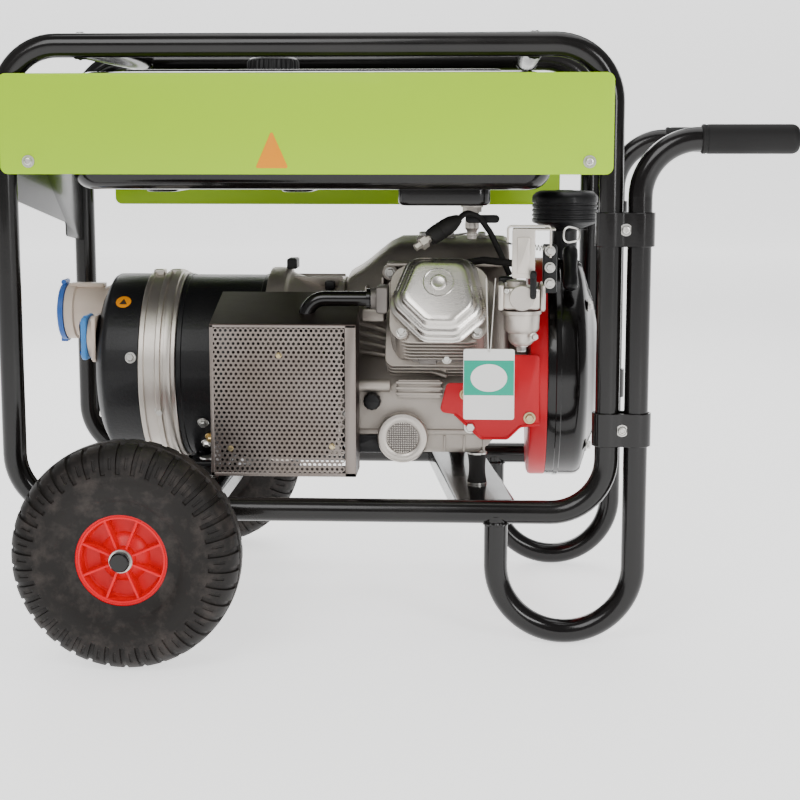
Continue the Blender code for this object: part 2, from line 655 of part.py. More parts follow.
# ================================================================ crank line
def make_crankshaft():
    """Crank, drive shaft and alternator rotor turn as one, on the crank axis."""
    half_pin = PIN_LENGTH / 2
    web_out = half_pin + WEB_T
    axis = (CRANK_Y, CRANK_Z)
    left = BAND_X[0] + WEB_WALL + 0.002
    profile = [(left, 0), (left, SHAFT_R), (ROTOR_X[0], SHAFT_R), (ROTOR_X[0], ROTOR_R),
               (ROTOR_X[1], ROTOR_R),
               (ROTOR_X[1], SHAFT_R), (CYLINDER_X - web_out, SHAFT_R), (CYLINDER_X - web_out, WEB_R),
               (CYLINDER_X - half_pin, WEB_R), (CYLINDER_X - half_pin, 0)]
    start = (0, *axis)
    pivot = (CYLINDER_X, *axis)
    crank = turned("crankshaft_rotor", profile, start, (1, 0, 0), "bare_steel", TURN_STEPS, pivot)
    profile = [(CYLINDER_X + half_pin, 0), (CYLINDER_X + half_pin, WEB_R), (CYLINDER_X + web_out, WEB_R),
               (CYLINDER_X + web_out, SHAFT_R), (FAN_X[1] + 0.002, SHAFT_R), (FAN_X[1] + 0.002, 0)]
    other = turned("crank_fan_end", profile, start, (1, 0, 0), "bare_steel", TURN_STEPS, pivot)
    reach = half_pin + WEB_T / 2
    pin = rod("crank_pin", (CYLINDER_X - reach, CRANK_Y, CRANK_Z + THROW - 0.004),
              (CYLINDER_X + reach, CRANK_Y, CRANK_Z + THROW - 0.004), PIN_R, "bare_steel")
    unite(crank, pin, other)


def make_flywheel_fan():
    """The flywheel on the shaft, dished towards the starter."""
    inner = SHAFT_R + GAP
    profile = [(FAN_X[0], inner), (FAN_X[1], inner), (FAN_X[1], FAN_HUB_R), (FAN_X[0] + FAN_WEB_T,
                                                                             FAN_HUB_R),
               (FAN_X[0] + FAN_WEB_T, FAN_R * 0.8), (FAN_X[1], FAN_R * 0.8), (FAN_X[1], FAN_R),
               (FAN_X[0], FAN_R)]
    turned("flywheel_fan", profile, (0, CRANK_Y, CRANK_Z), (1, 0, 0), "cast_alloy")


# ================================================================ engine
def make_crankcase():
    """The casting: a case round the crank with the tilted barrel standing on it."""
    outline = [(CRANK_Y + y, CRANK_Z + z) for y, z in CASE_OUTLINE]
    case = prism("crankcase", outline, "X", *CASE_X, "cast_alloy")
    right = CASE_X[1] + GAP
    heel = [(CASE_HEEL_X, CASE_LOW_Z - GAP), (right, CASE_LOW_Z - GAP),
            (right, CASE_LOW_Z + CASE_HEEL_RISE)]
    wedge = prism("case_heel", heel, "Y", CASE_FRONT_Y - 0.01, CRANK_Y + CASE_OUTLINE[-1][0] + 0.01,
                  "cast_alloy")
    cut(case, wedge)
    soften(case, CASE_EDGE)
    sides = (CYLINDER_X - BARREL_HALF_X, CYLINDER_X + BARREL_HALF_X)
    unite(case, cylinder_block("barrel", (0.02, HEAD_D[0] - GAP), (-BARREL_HALF_H, BARREL_HALF_H), sides,
                               "cast_alloy"))
    room = rod("crank_room", (CYLINDER_X - WEB_ROOM_HALF, CRANK_Y, CRANK_Z),
               (CYLINDER_X + WEB_ROOM_HALF, CRANK_Y, CRANK_Z), WEB_ROOM_R, "cast_alloy", TURN_STEPS)
    bore = rod("cylinder_bore", (CYLINDER_X, *on_cylinder(0.020, 0)), (CYLINDER_X, *on_cylinder(0.20, 0)),
               BORE_R + GAP, "cast_alloy", TURN_STEPS)
    shaft = rod("shaft_bore", (CASE_X[0] - 0.02, CRANK_Y, CRANK_Z), (SHROUD_X[0] + 0.02, CRANK_Y, CRANK_Z),
                SHAFT_R + RUN_GAP, "cast_alloy", TURN_STEPS)
    unite(case, rod("case_neck", (CASE_X[1] - 0.002, CRANK_Y, CRANK_Z), (SHROUD_X[0] - GAP, CRANK_Y,
                                                                         CRANK_Z),
                    NECK_CASE_R, "cast_alloy", TURN_STEPS))
    cut(case, room, bore, shaft)


def make_piston():
    """The piston, open underneath, at the top of its stroke."""
    low, high = PISTON_D
    skirt = BORE_R - 0.006
    crown = high - 0.008
    profile = [(high, 0), (high, BORE_R), (low, BORE_R), (low, skirt), (crown, skirt), (crown, 0)]
    way = (0, -cos(CYLINDER_TILT), sin(CYLINDER_TILT))
    turned("piston", profile, (CYLINDER_X, CRANK_Y, CRANK_Z), way, "cast_alloy")


def make_cylinder_head():
    """The finned head: a comb outline across the cylinder, extruded along X."""
    start, end = HEAD_D
    pitch = (end - start) / (2 * FIN_COUNT + 1)
    comb = []
    for side in (1, -1):
        edge = []
        for i in range(FIN_COUNT):
            near = start + pitch * (2 * i + 1)
            deep = BARREL_HALF_H - FIN_DEPTH
            edge += [(near, BARREL_HALF_H), (near, deep), (near + pitch, deep), (near + pitch,
                                                                                 BARREL_HALF_H)]
        edge = [(start, BARREL_HALF_H)] + edge + [(end, BARREL_HALF_H)]
        comb += [(d, side * h) for d, h in (edge if side == 1 else edge[::-1])]
    sides = (CYLINDER_X - BARREL_HALF_X, CYLINDER_X + BARREL_HALF_X)
    prism("cylinder_head", [on_cylinder(d, h) for d, h in comb], "X", *sides, "cast_alloy")


def make_valve_cover():
    """A pressed cover: its outline stepped inwards as it rises along the cylinder."""
    count = len(COVER_OUTLINE)
    points = []
    for rise, share in COVER_STEPS:
        for x, height in COVER_OUTLINE:
            y, z = on_cylinder(HEAD_D[1] + GAP + rise, height * share + COVER_MIDDLE)
            points.append((CYLINDER_X + x * share, y, z))
    faces = [tuple(range(count)), tuple(range(len(points) - count, len(points)))]
    for level in range(len(COVER_STEPS) - 1):
        first = level * count
        for i in range(count):
            j = (i + 1) % count
            faces.append((first + i, first + j, first + count + j, first + count + i))
    soften(add_solid("valve_cover", points, faces, "pressed_steel"), 0.003, 1)


def make_cooling_shroud():
    """The red fan housing, with a deflector plate in front of the crankcase."""
    left, right = SHROUD_X
    inner = SHROUD_R - SHROUD_WALL
    profile = [(left, SHAFT_R * 2), (left + SHROUD_WALL, SHAFT_R * 2), (left + SHROUD_WALL, inner),
               (right, inner), (right, SHROUD_R), (left, SHROUD_R)]
    shroud = turned("cooling_shroud", profile, (0, CRANK_Y, CRANK_Z), (1, 0, 0), "red_paint")
    front = CASE_FRONT_Y - GAP - 2 * DEFLECTOR_T
    top = BARREL_LOW_Z - DEFLECTOR_ROOM
    beside = BARREL_RIGHT_X + 0.0035
    outline = [(DEFLECTOR_LOW[0][0] + 0.009, top)] + [(x, CRANK_Z + z) for x, z in DEFLECTOR_LOW]
    outline += [(DEFLECTOR_LOW[-1][0], CRANK_Z + DEFLECTOR_TOP), (beside, CRANK_Z + DEFLECTOR_TOP),
                (beside, top)]
    plate = prism("deflector", outline, "Y", front, front + DEFLECTOR_T, "red_paint")
    web = box("deflector_web", (left + 0.0002, front + 0.0002, CRANK_Z + DEFLECTOR_LOW[-1][1] + 0.002),
              (DEFLECTOR_LOW[-1][0] - 0.0002, CRANK_Y - inner + 0.020, CRANK_Z - 0.010), "red_paint")
    fan_room = rod("fan_room", (left + SHROUD_WALL, CRANK_Y, CRANK_Z), (right + 0.01, CRANK_Y, CRANK_Z),
                   inner,
                   "red_paint", TURN_STEPS)
    cut(unite(shroud, web, plate), fan_room)


def make_recoil_cover():
    """The domed black starter cover, open towards the fan."""
    left, right = RECOIL_X
    depth = right - left
    outer = [(1.00, 0.56), (0.86, 0.72), (0.75, 0.94), (0.55, 1.00), (0.0, 1.00)]
    profile = [(right, 0)] + [(left + depth * a, RECOIL_R * r) for a, r in outer]
    profile += [(left + (depth - RECOIL_WALL) * a, RECOIL_R * r - RECOIL_WALL) for a, r in outer[::-1]]
    profile.append((right - RECOIL_WALL, 0))
    turned("recoil_cover", profile, (0, CRANK_Y, CRANK_Z), (1, 0, 0), "black_paint")


def make_recoil_grip():
    """The starter's T grip with the first stretch of its rope."""
    pull = Vector((0, *GRIP_PULL)).normalized()
    across = Vector((0, -pull.z, pull.y))
    middle = Vector((PULL_X, CRANK_Y + GRIP_FROM_AXIS[0], CRANK_Z + GRIP_FROM_AXIS[1]))
    half = PULL_GRIP_HALF
    profile = [(-half, 0), (-half, 0.006), (-half * 0.8, PULL_GRIP_R), (half * 0.8, PULL_GRIP_R),
               (half, 0.006),
               (half, 0)]
    grip = turned("recoil_grip", profile, middle, across, "dark_plastic", SMALL_STEPS)
    unite(grip, rod("starter_rope", middle, middle - pull * ROPE_LENGTH, ROPE_R, "dark_plastic", 8))


def make_intake():
    """Air cleaner, carburettor with its float bowl, and the choke lever."""
    low, high = AIR_Z
    foot = CRANK_Z + RECOIL_R + 0.001
    profile = [(foot, 0), (foot, AIR_NECK_R), (low - 0.008, AIR_NECK_R), (low, AIR_R), (low + 0.006,
                                                                                        AIR_R + 0.002),
               (high - 0.016, AIR_R + 0.002), (high - 0.012, AIR_R - 0.002), (high, AIR_R - 0.006),
               (high, 0)]
    turned("air_cleaner", profile, (AIR_X, AIR_Y, 0), (0, 0, 1), "cast_alloy")
    soften(box("carburettor", (CARB_X[0], CARB_Y[0], CARB_Z[0]), (CARB_X[1], CARB_Y[1], CARB_Z[1]),
               "cast_alloy"),
           0.004)
    top = CARB_Z[0] - GAP
    profile = [(top, 0), (top, BOWL_R), (BOWL_LOW_Z + 0.012, BOWL_R), (BOWL_LOW_Z + 0.004, BOWL_R * 0.72),
               (BOWL_LOW_Z + 0.004, 0.007), (BOWL_LOW_Z - 0.004, 0.007), (BOWL_LOW_Z - 0.004, 0)]
    turned("float_bowl", profile, (BOWL_X, BOWL_Y, 0), (0, 0, 1), "cast_alloy")
    x, z = CHOKE_PIVOT
    front = CARB_Y[0] - GAP
    arm = rounded_rectangle(0.004, CHOKE_LENGTH / 2, 0.0035, (x, z + CHOKE_LENGTH / 2 - 0.004))
    lever = prism("choke_lever", arm, "Y", front - 0.006, front - 0.003, "dark_plastic", (x, front, z))
    unite(lever, rod("choke_spindle", (x, front - 0.004, z), (x, front, z), 0.003, "dark_plastic"))


def make_plug_lead():
    """Spark-plug cap with its lead to the coil, moulded as one."""
    x, along, above = BOOT_ROOT
    root = Vector((CYLINDER_X + x, *on_cylinder(along, BARREL_HALF_H + above)))
    route = [Vector((CYLINDER_X, CRANK_Y, CRANK_Z)) + Vector(point) for point in LEAD_POINTS]
    reach = (route[0] - root).length
    profile = [(0, 0), (0, 0.009), (reach * 0.3, 0.011), (reach * 0.75, 0.010), (reach, 0.006), (reach, 0)]
    boot = turned("spark_plug_lead", profile, root, route[0] - root, "rubber", SMALL_STEPS)
    unite(boot, bent_tube("lead_run", route, LEAD_R, "rubber", sides=8))


def make_oil_fittings():
    """The dipstick knob and the round vented cover on the front of the case."""
    front = CASE_FRONT_Y - GAP
    profile = [(0, 0), (0, 0.006), (0.003, 0.006), (0.003, DIPSTICK_R), (0.014, DIPSTICK_R * 0.9),
               (0.016, 0)]
    turned("oil_dipstick", profile, (DIPSTICK_X, front, DIPSTICK_Z), (0, -1, 0), "dark_plastic",
           SMALL_STEPS)
    profile = [(0, 0), (0, VENT_R * 0.82), (0.006, VENT_R * 0.82), (0.008, VENT_R), (VENT_DEPTH - 0.002,
                                                                                     VENT_R),
               (VENT_DEPTH, VENT_R - 0.003), (VENT_DEPTH, VENT_R * 0.6), (VENT_DEPTH - 0.003,
                                                                          VENT_R * 0.56),
               (VENT_DEPTH - 0.003, 0)]
    turned("vented_cover", profile, (VENT_X, front, VENT_Z), (0, -1, 0), "cast_alloy", TURN_STEPS)


# ================================================================ exhaust
def make_muffler():
    body = box("muffler", (MUFFLER_X[0], MUFFLER_Y[0], MUFFLER_Z[0]), (MUFFLER_X[1], MUFFLER_Y[1],
                                                                       MUFFLER_Z[1]),
               "guard_steel")
    soften(body, 0.012, 3)
    head_side = CYLINDER_X - BARREL_HALF_X - GAP
    corners = [(head_side, PIPE_Y, PIPE_Z), (PIPE_X, PIPE_Y, PIPE_Z), (PIPE_X, PIPE_Y, MUFFLER_Z[1] + GAP)]
    bent_tube("exhaust_pipe", rounded_path(corners, PIPE_BEND_R), PIPE_R, "black_paint")


def make_muffler_guard():
    """A folded sheet round the muffler, with two side plates and an opening for the pipe."""
    left, right = GUARD_X
    path = [(GUARD_SIDE_Y, GUARD_Z[0]), (GUARD_FRONT_Y, GUARD_Z[0]), (GUARD_FRONT_Y, GUARD_Z[1]),
            (GUARD_BACK_Y, GUARD_BACK_Z)]
    guard = prism("muffler_guard", strip_outline(path[::-1], GUARD_T), "X", left, right, "guard_steel")
    slope = (GUARD_BACK_Z - GUARD_Z[1]) / (GUARD_BACK_Y - GUARD_FRONT_Y)
    inset = GUARD_T / 2
    side_top = GUARD_Z[1] + slope * (GUARD_SIDE_Y - GUARD_FRONT_Y)
    side = [(GUARD_SIDE_Y - inset, GUARD_Z[0] + inset), (GUARD_SIDE_Y - inset, side_top - inset),
            (GUARD_FRONT_Y + inset, GUARD_Z[1] - inset), (GUARD_FRONT_Y + inset, GUARD_Z[0] + inset)]
    for label, start in (("left", left), ("right", right - GUARD_T)):
        unite(guard, prism(f"guard_side_{label}", side, "X", start, start + GUARD_T, "guard_steel"))
    cut(guard, rod("pipe_hole", (PIPE_X, PIPE_Y, MUFFLER_Z[1]), (PIPE_X, PIPE_Y, PIPE_Z + 0.03),
                   PIPE_R + 0.003,
                   "guard_steel"))


# ================================================================ alternator
def make_alternator():
    """End cover, end shield, stator housing and drive-end bracket, in line on the crank axis."""
    centre = (0, CRANK_Y, CRANK_Z)
    x_way = (1, 0, 0)
    left, right = END_COVER_X
    step_x, step_r = END_COVER_CHAMFER
    profile = [(left, 0), (left, ALT_R - step_r), (left + step_x, ALT_R), (right, ALT_R),
               (right, ALT_R - COVER_WALL), (left + step_x + COVER_WALL, ALT_R - COVER_WALL),
               (left + COVER_WALL, ALT_R - step_r - COVER_WALL), (left + COVER_WALL, 0)]
    cover = turned("alternator_end_cover", profile, centre, x_way, "black_paint", WHEEL_STEPS)
    y, z = BREAKER
    cut(cover, rod("breaker_hole", (left - 0.01, y, z), (left + 0.01, y, z), BREAKER_R + GAP,
                   "black_paint"))
    left, right = BAND_X
    profile = [(left, 0), (left, BAND_R), (right, BAND_R), (right, ALT_BORE_R), (left + WEB_WALL,
                                                                                 ALT_BORE_R),
               (left + WEB_WALL, 0)]
    turned("alternator_band", profile, centre, x_way, "cast_alloy", WHEEL_STEPS)
    left, right = ALT_X
    profile = [(left, ALT_BORE_R), (right, ALT_BORE_R), (right, ALT_R), (left, ALT_R)]
    housing = turned("alternator_housing", profile, centre, x_way, "black_paint", WHEEL_STEPS)
    reach = FOOT_SPREAD + MOUNT_R
    unite(housing, box("alternator_feet", (ALT_CROSS_X - FOOT_HALF_X, CRANK_Y - reach, FOOT_Z),
                       (ALT_CROSS_X + FOOT_HALF_X, CRANK_Y + reach, FOOT_Z + FOOT_T), "black_paint"))
    left, right = STATOR_X
    outer = ALT_BORE_R - GAP
    profile = [(left, STATOR_BORE_R), (right, STATOR_BORE_R), (right, outer), (left, outer)]
    turned("stator", profile, centre, x_way, "copper", WHEEL_STEPS)
    left, right = BRACKET_X
    shaft = SHAFT_R + RUN_GAP
    profile = [(left, ALT_BORE_R), (right - WEB_WALL, ALT_BORE_R), (right - WEB_WALL, shaft),
               (right, shaft),
               (right, BRACKET_R), (left, BRACKET_R)]
    turned("drive_end_bracket", profile, centre, x_way, "cast_alloy", WHEEL_STEPS)


def make_sockets():
    """Two outlets on the end cover, each with a lid hinged along its top edge, and the breaker."""
    face = END_COVER_X[0] - GAP
    y, z = BIG_SOCKET
    front = face - BIG_SOCKET_DEPTH
    well = BIG_SOCKET_R - SOCKET_WALL
    profile = [(0, 0), (0, BIG_SOCKET_R), (BIG_SOCKET_DEPTH, BIG_SOCKET_R), (BIG_SOCKET_DEPTH, well),
               (BIG_SOCKET_DEPTH - SOCKET_WELL_DEPTH, well), (BIG_SOCKET_DEPTH - SOCKET_WELL_DEPTH, 0)]
    turned("socket_large", profile, (face, y, z), (-1, 0, 0), "cream_plastic")
    hinge_z = z + BIG_SOCKET_R + 0.004
    back = front - GAP
    profile = [(0, 0), (0, BIG_SOCKET_R + 0.002), (BIG_LID_T * 0.6, BIG_SOCKET_R + 0.002),
               (BIG_LID_T, BIG_SOCKET_R * 0.8), (BIG_LID_T, 0)]
    turned("socket_large_lid", profile, (back, y, z), (-1, 0, 0), "blue_plastic", TURN_STEPS,
           (back, y, hinge_z))
    y, z = SMALL_SOCKET
    front = face - SMALL_SOCKET_DEPTH
    half = SMALL_SOCKET_HALF
    plate = prism("socket_small", rounded_rectangle(half, half, 0.006, (y, z)), "X", front, face,
                  "cream_plastic")
    well = rod("small_well", (front - 0.01, y, z), (face - SOCKET_WALL / 2, y, z), half - SOCKET_WALL,
               "cream_plastic", TURN_STEPS)
    cut(plate, well)
    back = front - GAP
    outline = rounded_rectangle(half - 0.002, half - 0.002, 0.006, (y, z))
    prism("socket_small_lid", outline, "X", back - SMALL_LID_T, back, "sky_plastic", (back, y, z + half))
    y, z = BREAKER
    profile = [(-BREAKER_IN, 0), (-BREAKER_IN, BREAKER_R), (BREAKER_OUT, BREAKER_R), (BREAKER_OUT, 0)]
    turned("breaker_button", profile, (END_COVER_X[0], y, z), (-1, 0, 0), "red_plastic", SMALL_STEPS)


# ================================================================ trolley kit
def make_axle():
    """The axle with its collars and end nuts, and the two saddles that hold it under the rails."""
    end = WHEEL_Y + HUB_LENGTH / 2 + GAP
    inner = WHEEL_Y - HUB_LENGTH / 2 - GAP
    half = [(0, AXLE_R), (inner - 0.012, AXLE_R), (inner - 0.012, COLLAR_R), (inner, COLLAR_R),
            (inner, AXLE_R),
            (end, AXLE_R), (end, NUT_R), (end + NUT_T, NUT_R), (end + NUT_T, 0)]
    profile = [(-a, r) for a, r in half[:0:-1]] + half[1:]
    axle = turned("axle", profile, (AXLE_X, 0, WHEEL_R), (0, 1, 0), "black_paint", SMALL_STEPS)
    for side, sign in (("front", -1), ("back", 1)):
        y = sign * HOOP_Y
        saddle = box(f"saddle_{side}", (AXLE_X - SADDLE_HALF_X, y - SADDLE_HALF_Y, SADDLE_LOW_Z),
                     (AXLE_X + SADDLE_HALF_X, y + SADDLE_HALF_Y, SADDLE_TOP_Z), "black_paint")
        unite(axle, saddle)
        reach = 2 * SADDLE_HALF_X
        cut(axle, room(f"rail_room_{side}", (AXLE_X - reach, y, RAIL_Z), (AXLE_X + reach, y, RAIL_Z),
                       TUBE_R + GAP))


def make_wheels():
    """Pneumatic tyres on two plastic hubs that run on the axle."""
    half = WHEEL_W / 2
    sidewall = WHEEL_R - RIM_R
    for side, sign in (("front", -1), ("back", 1)):
        centre = (AXLE_X, sign * WHEEL_Y, WHEEL_R)
        outward = (0, sign, 0)
        tyre = [(-half * 0.66, RIM_R), (-half * 0.86, RIM_R + sidewall * 0.22),
                (-half, RIM_R + sidewall * 0.52),
                (-half * 0.90, RIM_R + sidewall * 0.80), (-half * 0.66, RIM_R + sidewall * 0.95),
                (-half * 0.30, WHEEL_R), (half * 0.30, WHEEL_R), (half * 0.66, RIM_R + sidewall * 0.95),
                (half * 0.90, RIM_R + sidewall * 0.80), (half, RIM_R + sidewall * 0.52),
                (half * 0.86, RIM_R + sidewall * 0.22), (half * 0.66, RIM_R)]
        turned(f"tyre_{side}", tyre, centre, outward, "tyre_rubber", WHEEL_STEPS)
        bore = AXLE_R + RUN_GAP
        seat = RIM_R - GAP
        reach = HUB_LENGTH / 2
        lip = half * 0.66 + GAP
        flange = half * 0.74
        hub = [(-reach, bore), (reach, bore), (reach, 0.024), (0.022, 0.028), (0.022, seat - 0.006),
               (flange, seat - 0.004), (flange, HUB_FLANGE_R - 0.002), (lip, HUB_FLANGE_R - 0.004),
               (lip, seat),
               (-lip, seat), (-lip, HUB_FLANGE_R - 0.004), (-flange, HUB_FLANGE_R - 0.002),
               (-flange, seat - 0.004), (-0.022, seat - 0.006), (-0.022, 0.028), (-reach, 0.024)]
        hub = [(a, min(r, seat) if abs(a) <= lip else r) for a, r in hub]
        turned(f"hub_{side}", hub, centre, outward, "red_plastic", WHEEL_STEPS)


def make_handle_bars():
    """Each bar runs from a saddle end under the rail, round the foot and up to the grip."""
    for side, sign in (("front", -1), ("back", 1)):
        y = sign * HOOP_Y
        u_z = TUBE_R + U_R - FOOT_FLAT
        foot = [(FOOT_LEG_X, y, RAIL_Z)]
        for k in range(2 * BEND_STEPS + 1):
            angle = pi + pi * k / (2 * BEND_STEPS)
            foot.append((U_X + U_R * cos(angle), y, u_z + U_R * sin(angle)))
        corners = [(BAR_X, y, u_z + U_R), (BAR_X, y, BAR_TOP_Z), (BAR_END_X, y, BAR_TOP_Z)]
        path = foot + rounded_path(corners, BAR_TOP_BEND_R)[1:]
        bar = bent_tube(f"handle_bar_{side}", path, TUBE_R, "black_paint")
        reach = 3 * TUBE_R
        cut(bar, room(f"rail_seat_{side}", (FOOT_LEG_X - reach, y, RAIL_Z), (FOOT_LEG_X + reach, y, RAIL_Z),
                      TUBE_R + GAP))
        cut(bar, box(f"ground_{side}", (FOOT_LEG_X, y - reach, -reach), (BAR_X, y + reach, 0),
                     "black_paint"))
        start, end = GRIP_X
        bore = (TUBE_R + GAP) / cos(pi / SMALL_STEPS)
        grip = [(start, bore), (start, GRIP_R - 0.001), (start + 0.002, GRIP_R), (end - 0.006, GRIP_R),
                (end - 0.0015, GRIP_R * 0.8), (end, GRIP_R * 0.45), (end, 0), (BAR_END_X + GAP, 0),
                (BAR_END_X + GAP, bore)]
        ordered = grip[6::-1] + grip[:6:-1]
        turned(f"grip_{side}", ordered, (0, y, BAR_TOP_Z), (1, 0, 0), "rubber", SMALL_STEPS)


def make_clamps():
    """Straps round post and bar, each drawn tight by one bolt between the two tubes."""
    middle_x = (HOOP_X + BAR_X) / 2
    spread = (BAR_X - HOOP_X) / 2
    for level, z in zip(("upper", "lower"), CLAMP_Z):
        for side, sign in (("front", -1), ("back", 1)):
            y = sign * HOOP_Y
            inner = (TUBE_R + GAP) / cos(pi / (4 * CLAMP_ARC_STEPS))
            outer = inner + CLAMP_T
            shapes = {}
            for label, radius, rise in (("strap", outer, CLAMP_H / 2), ("room", inner, CLAMP_H)):
                outline = rounded_rectangle(spread + radius, radius, radius * 0.999, (middle_x, y),
                                            CLAMP_ARC_STEPS)
                name = f"clamp_{level}_{side}" if label == "strap" else f"clamp_room_{level}_{side}"
                shapes[label] = prism(name, outline, "Z", z - rise, z + rise, "black_paint")
            cut(shapes["strap"], shapes["room"])
            reach = outer + CLAMP_HEAD_T
            profile = [(-reach, 0), (-reach, CLAMP_HEAD_R), (-outer + 0.001, CLAMP_HEAD_R),
                       (-outer + 0.001, CLAMP_BOLT_R), (outer - 0.001, CLAMP_BOLT_R), (outer - 0.001,
                                                                                       CLAMP_HEAD_R),
                       (reach, CLAMP_HEAD_R), (reach, 0)]
            bolt = turned(f"clamp_bolt_{level}_{side}", profile, (middle_x, y, z), (0, 1, 0), "bare_steel",
                          SMALL_STEPS // 2)
            unite(shapes["strap"], bolt)


def main():
    clear_scene()
    assembly = bpy.data.objects.new("generator", None)
    assembly.location = (-MIDDLE_X, 0, 0)
    bpy.context.scene.collection.objects.link(assembly)
    make_hoops()
    make_top_cross_tubes()
    make_channel("engine_crossmember", ENGINE_CROSS_X, ENGINE_CROSS_W, ENGINE_CROSS_SKEW)
    make_channel("alternator_crossmember", ALT_CROSS_X, ALT_CROSS_W, 0.0)
    make_mounts()
    make_side_panels()
    make_end_plate()
    make_tank()
    make_fuel_tap()
    make_engine_switch()
    make_crankshaft()
    make_flywheel_fan()
    make_crankcase()
    make_piston()
    make_cylinder_head()
    make_valve_cover()
    make_cooling_shroud()
    make_recoil_cover()
    make_recoil_grip()
    make_intake()
    make_plug_lead()
    make_oil_fittings()
    make_muffler()
    make_muffler_guard()
    make_alternator()
    make_sockets()
    make_axle()
    make_wheels()
    make_handle_bars()
    make_clamps()


main()
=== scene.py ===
# %% [markdown]
# # A portable generator on its trolley kit
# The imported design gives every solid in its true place.  This script dresses it: smooth tubes
# instead of faceted ones, castings with ribs and bolts, a perforated guard, tyres with lugs, and a
# procedural finish on every surface.  All lengths are metres.

from math import cos, pi, radians, sin, sqrt, tan

import bmesh
import bpy
import numpy as np
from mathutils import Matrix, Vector


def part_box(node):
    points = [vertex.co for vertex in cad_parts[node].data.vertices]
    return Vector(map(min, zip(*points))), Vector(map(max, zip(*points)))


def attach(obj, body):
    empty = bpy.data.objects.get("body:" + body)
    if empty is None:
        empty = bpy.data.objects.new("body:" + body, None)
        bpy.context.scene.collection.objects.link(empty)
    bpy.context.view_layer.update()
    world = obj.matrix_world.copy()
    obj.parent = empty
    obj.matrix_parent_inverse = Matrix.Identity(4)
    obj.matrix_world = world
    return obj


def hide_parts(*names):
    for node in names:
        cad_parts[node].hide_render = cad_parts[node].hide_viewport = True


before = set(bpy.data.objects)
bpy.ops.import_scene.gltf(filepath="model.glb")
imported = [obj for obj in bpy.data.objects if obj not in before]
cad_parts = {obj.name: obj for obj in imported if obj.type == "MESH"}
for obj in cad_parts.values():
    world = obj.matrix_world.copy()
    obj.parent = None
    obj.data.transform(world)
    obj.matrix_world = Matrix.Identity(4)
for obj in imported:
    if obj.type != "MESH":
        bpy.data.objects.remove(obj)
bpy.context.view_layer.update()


# %% [markdown]
# Most places come from the design's own boxes, and the rest are given from the middle of the frame.
# `Spot` keeps a solid's lowest corner, highest corner, middle and size as arrays.

# %% Read places off the design
class Spot:
    """A solid's box: low and high corners, the middle and the size, as numpy arrays."""

    def __init__(self, node):
        low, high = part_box(node)
        self.low = np.array(low)
        self.high = np.array(high)
        self.mid = (self.low + self.high) / 2
        self.size = self.high - self.low


hoop = Spot("frame_hoop_front")
TUBE_R = hoop.size[1] / 2
HOOP_Y = -hoop.mid[1]
FRAME_X = hoop.mid[0]
POST_X = hoop.size[0] / 2 - TUBE_R
RAIL_Z = hoop.low[2] + TUBE_R
TOP_Z = hoop.high[2] - TUBE_R
HOOP_BEND_R = 0.065
CYLINDER_TILT = radians(30.0)
CRANK = np.array([FRAME_X + 0.153, 0.03, 0.303])
print("frame middle x, posts, rail, top:", FRAME_X, POST_X, RAIL_Z, TOP_Z)


# %% [markdown]
# Every new piece starts as arrays.  A shape is a pair: its points, and a list of face arrays whose
# rows are point numbers.  A grid of rows and columns covers tubes, turned pieces and plates alike,
# and only its end caps differ.

# %% Grids of points
def grid_shape(grid, wrap_rows=False, wrap_columns=True, caps=(True, True)):
    """Quads between neighbouring rows and columns of a (rows, columns, 3) grid, with flat end caps."""
    rows, columns = grid.shape[:2]
    number = np.arange(rows * columns).reshape(rows, columns)
    down = np.roll(number, -1, 0) if wrap_rows else number[1:]
    here = number if wrap_rows else number[:-1]
    if wrap_columns:
        right, down_right = np.roll(here, -1, 1), np.roll(down, -1, 1)
    else:
        right, down_right = here[:, 1:], down[:, 1:]
        here, down = here[:, :-1], down[:, :-1]
    faces = [np.stack([here, right, down_right, down], -1).reshape(-1, 4)]
    if not wrap_rows and caps[0]:
        faces.append(number[:1, ::-1])
    if not wrap_rows and caps[1]:
        faces.append(number[-1:])
    return grid.reshape(-1, 3), faces


def joined(*shapes):
    """Several shapes as one: points in a row, and each shape's numbers moved up by what came before."""
    points = np.concatenate([shape[0] for shape in shapes])
    starts = np.cumsum([0] + [len(shape[0]) for shape in shapes])
    faces = [part + start for (_, parts), start in zip(shapes, starts) for part in parts]
    return points, faces


def placed(shape, turn=None, move=(0, 0, 0)):
    """The shape turned by a 3x3 matrix and then moved."""
    points = shape[0] if turn is None else shape[0] @ np.array(turn).T
    return points + np.array(move), shape[1]


# %% [markdown]
# `facing` turns a shape that was made round the Z axis so that it stands along any other
# direction.  `round_run` is the rule of a tube bender: straight stretches, and at each corner an
# arc that touches both of them.

# %% Directions, arcs and outlines
TO_RIGHT, TO_LEFT = (1, 0, 0), (-1, 0, 0)
TO_BACK, TO_FRONT = (0, 1, 0), (0, -1, 0)
UP = (0, 0, 1)


def facing(axis):
    """The rotation that takes +Z to the axis."""
    return np.array(Vector(UP).rotation_difference(Vector(axis)).to_matrix())


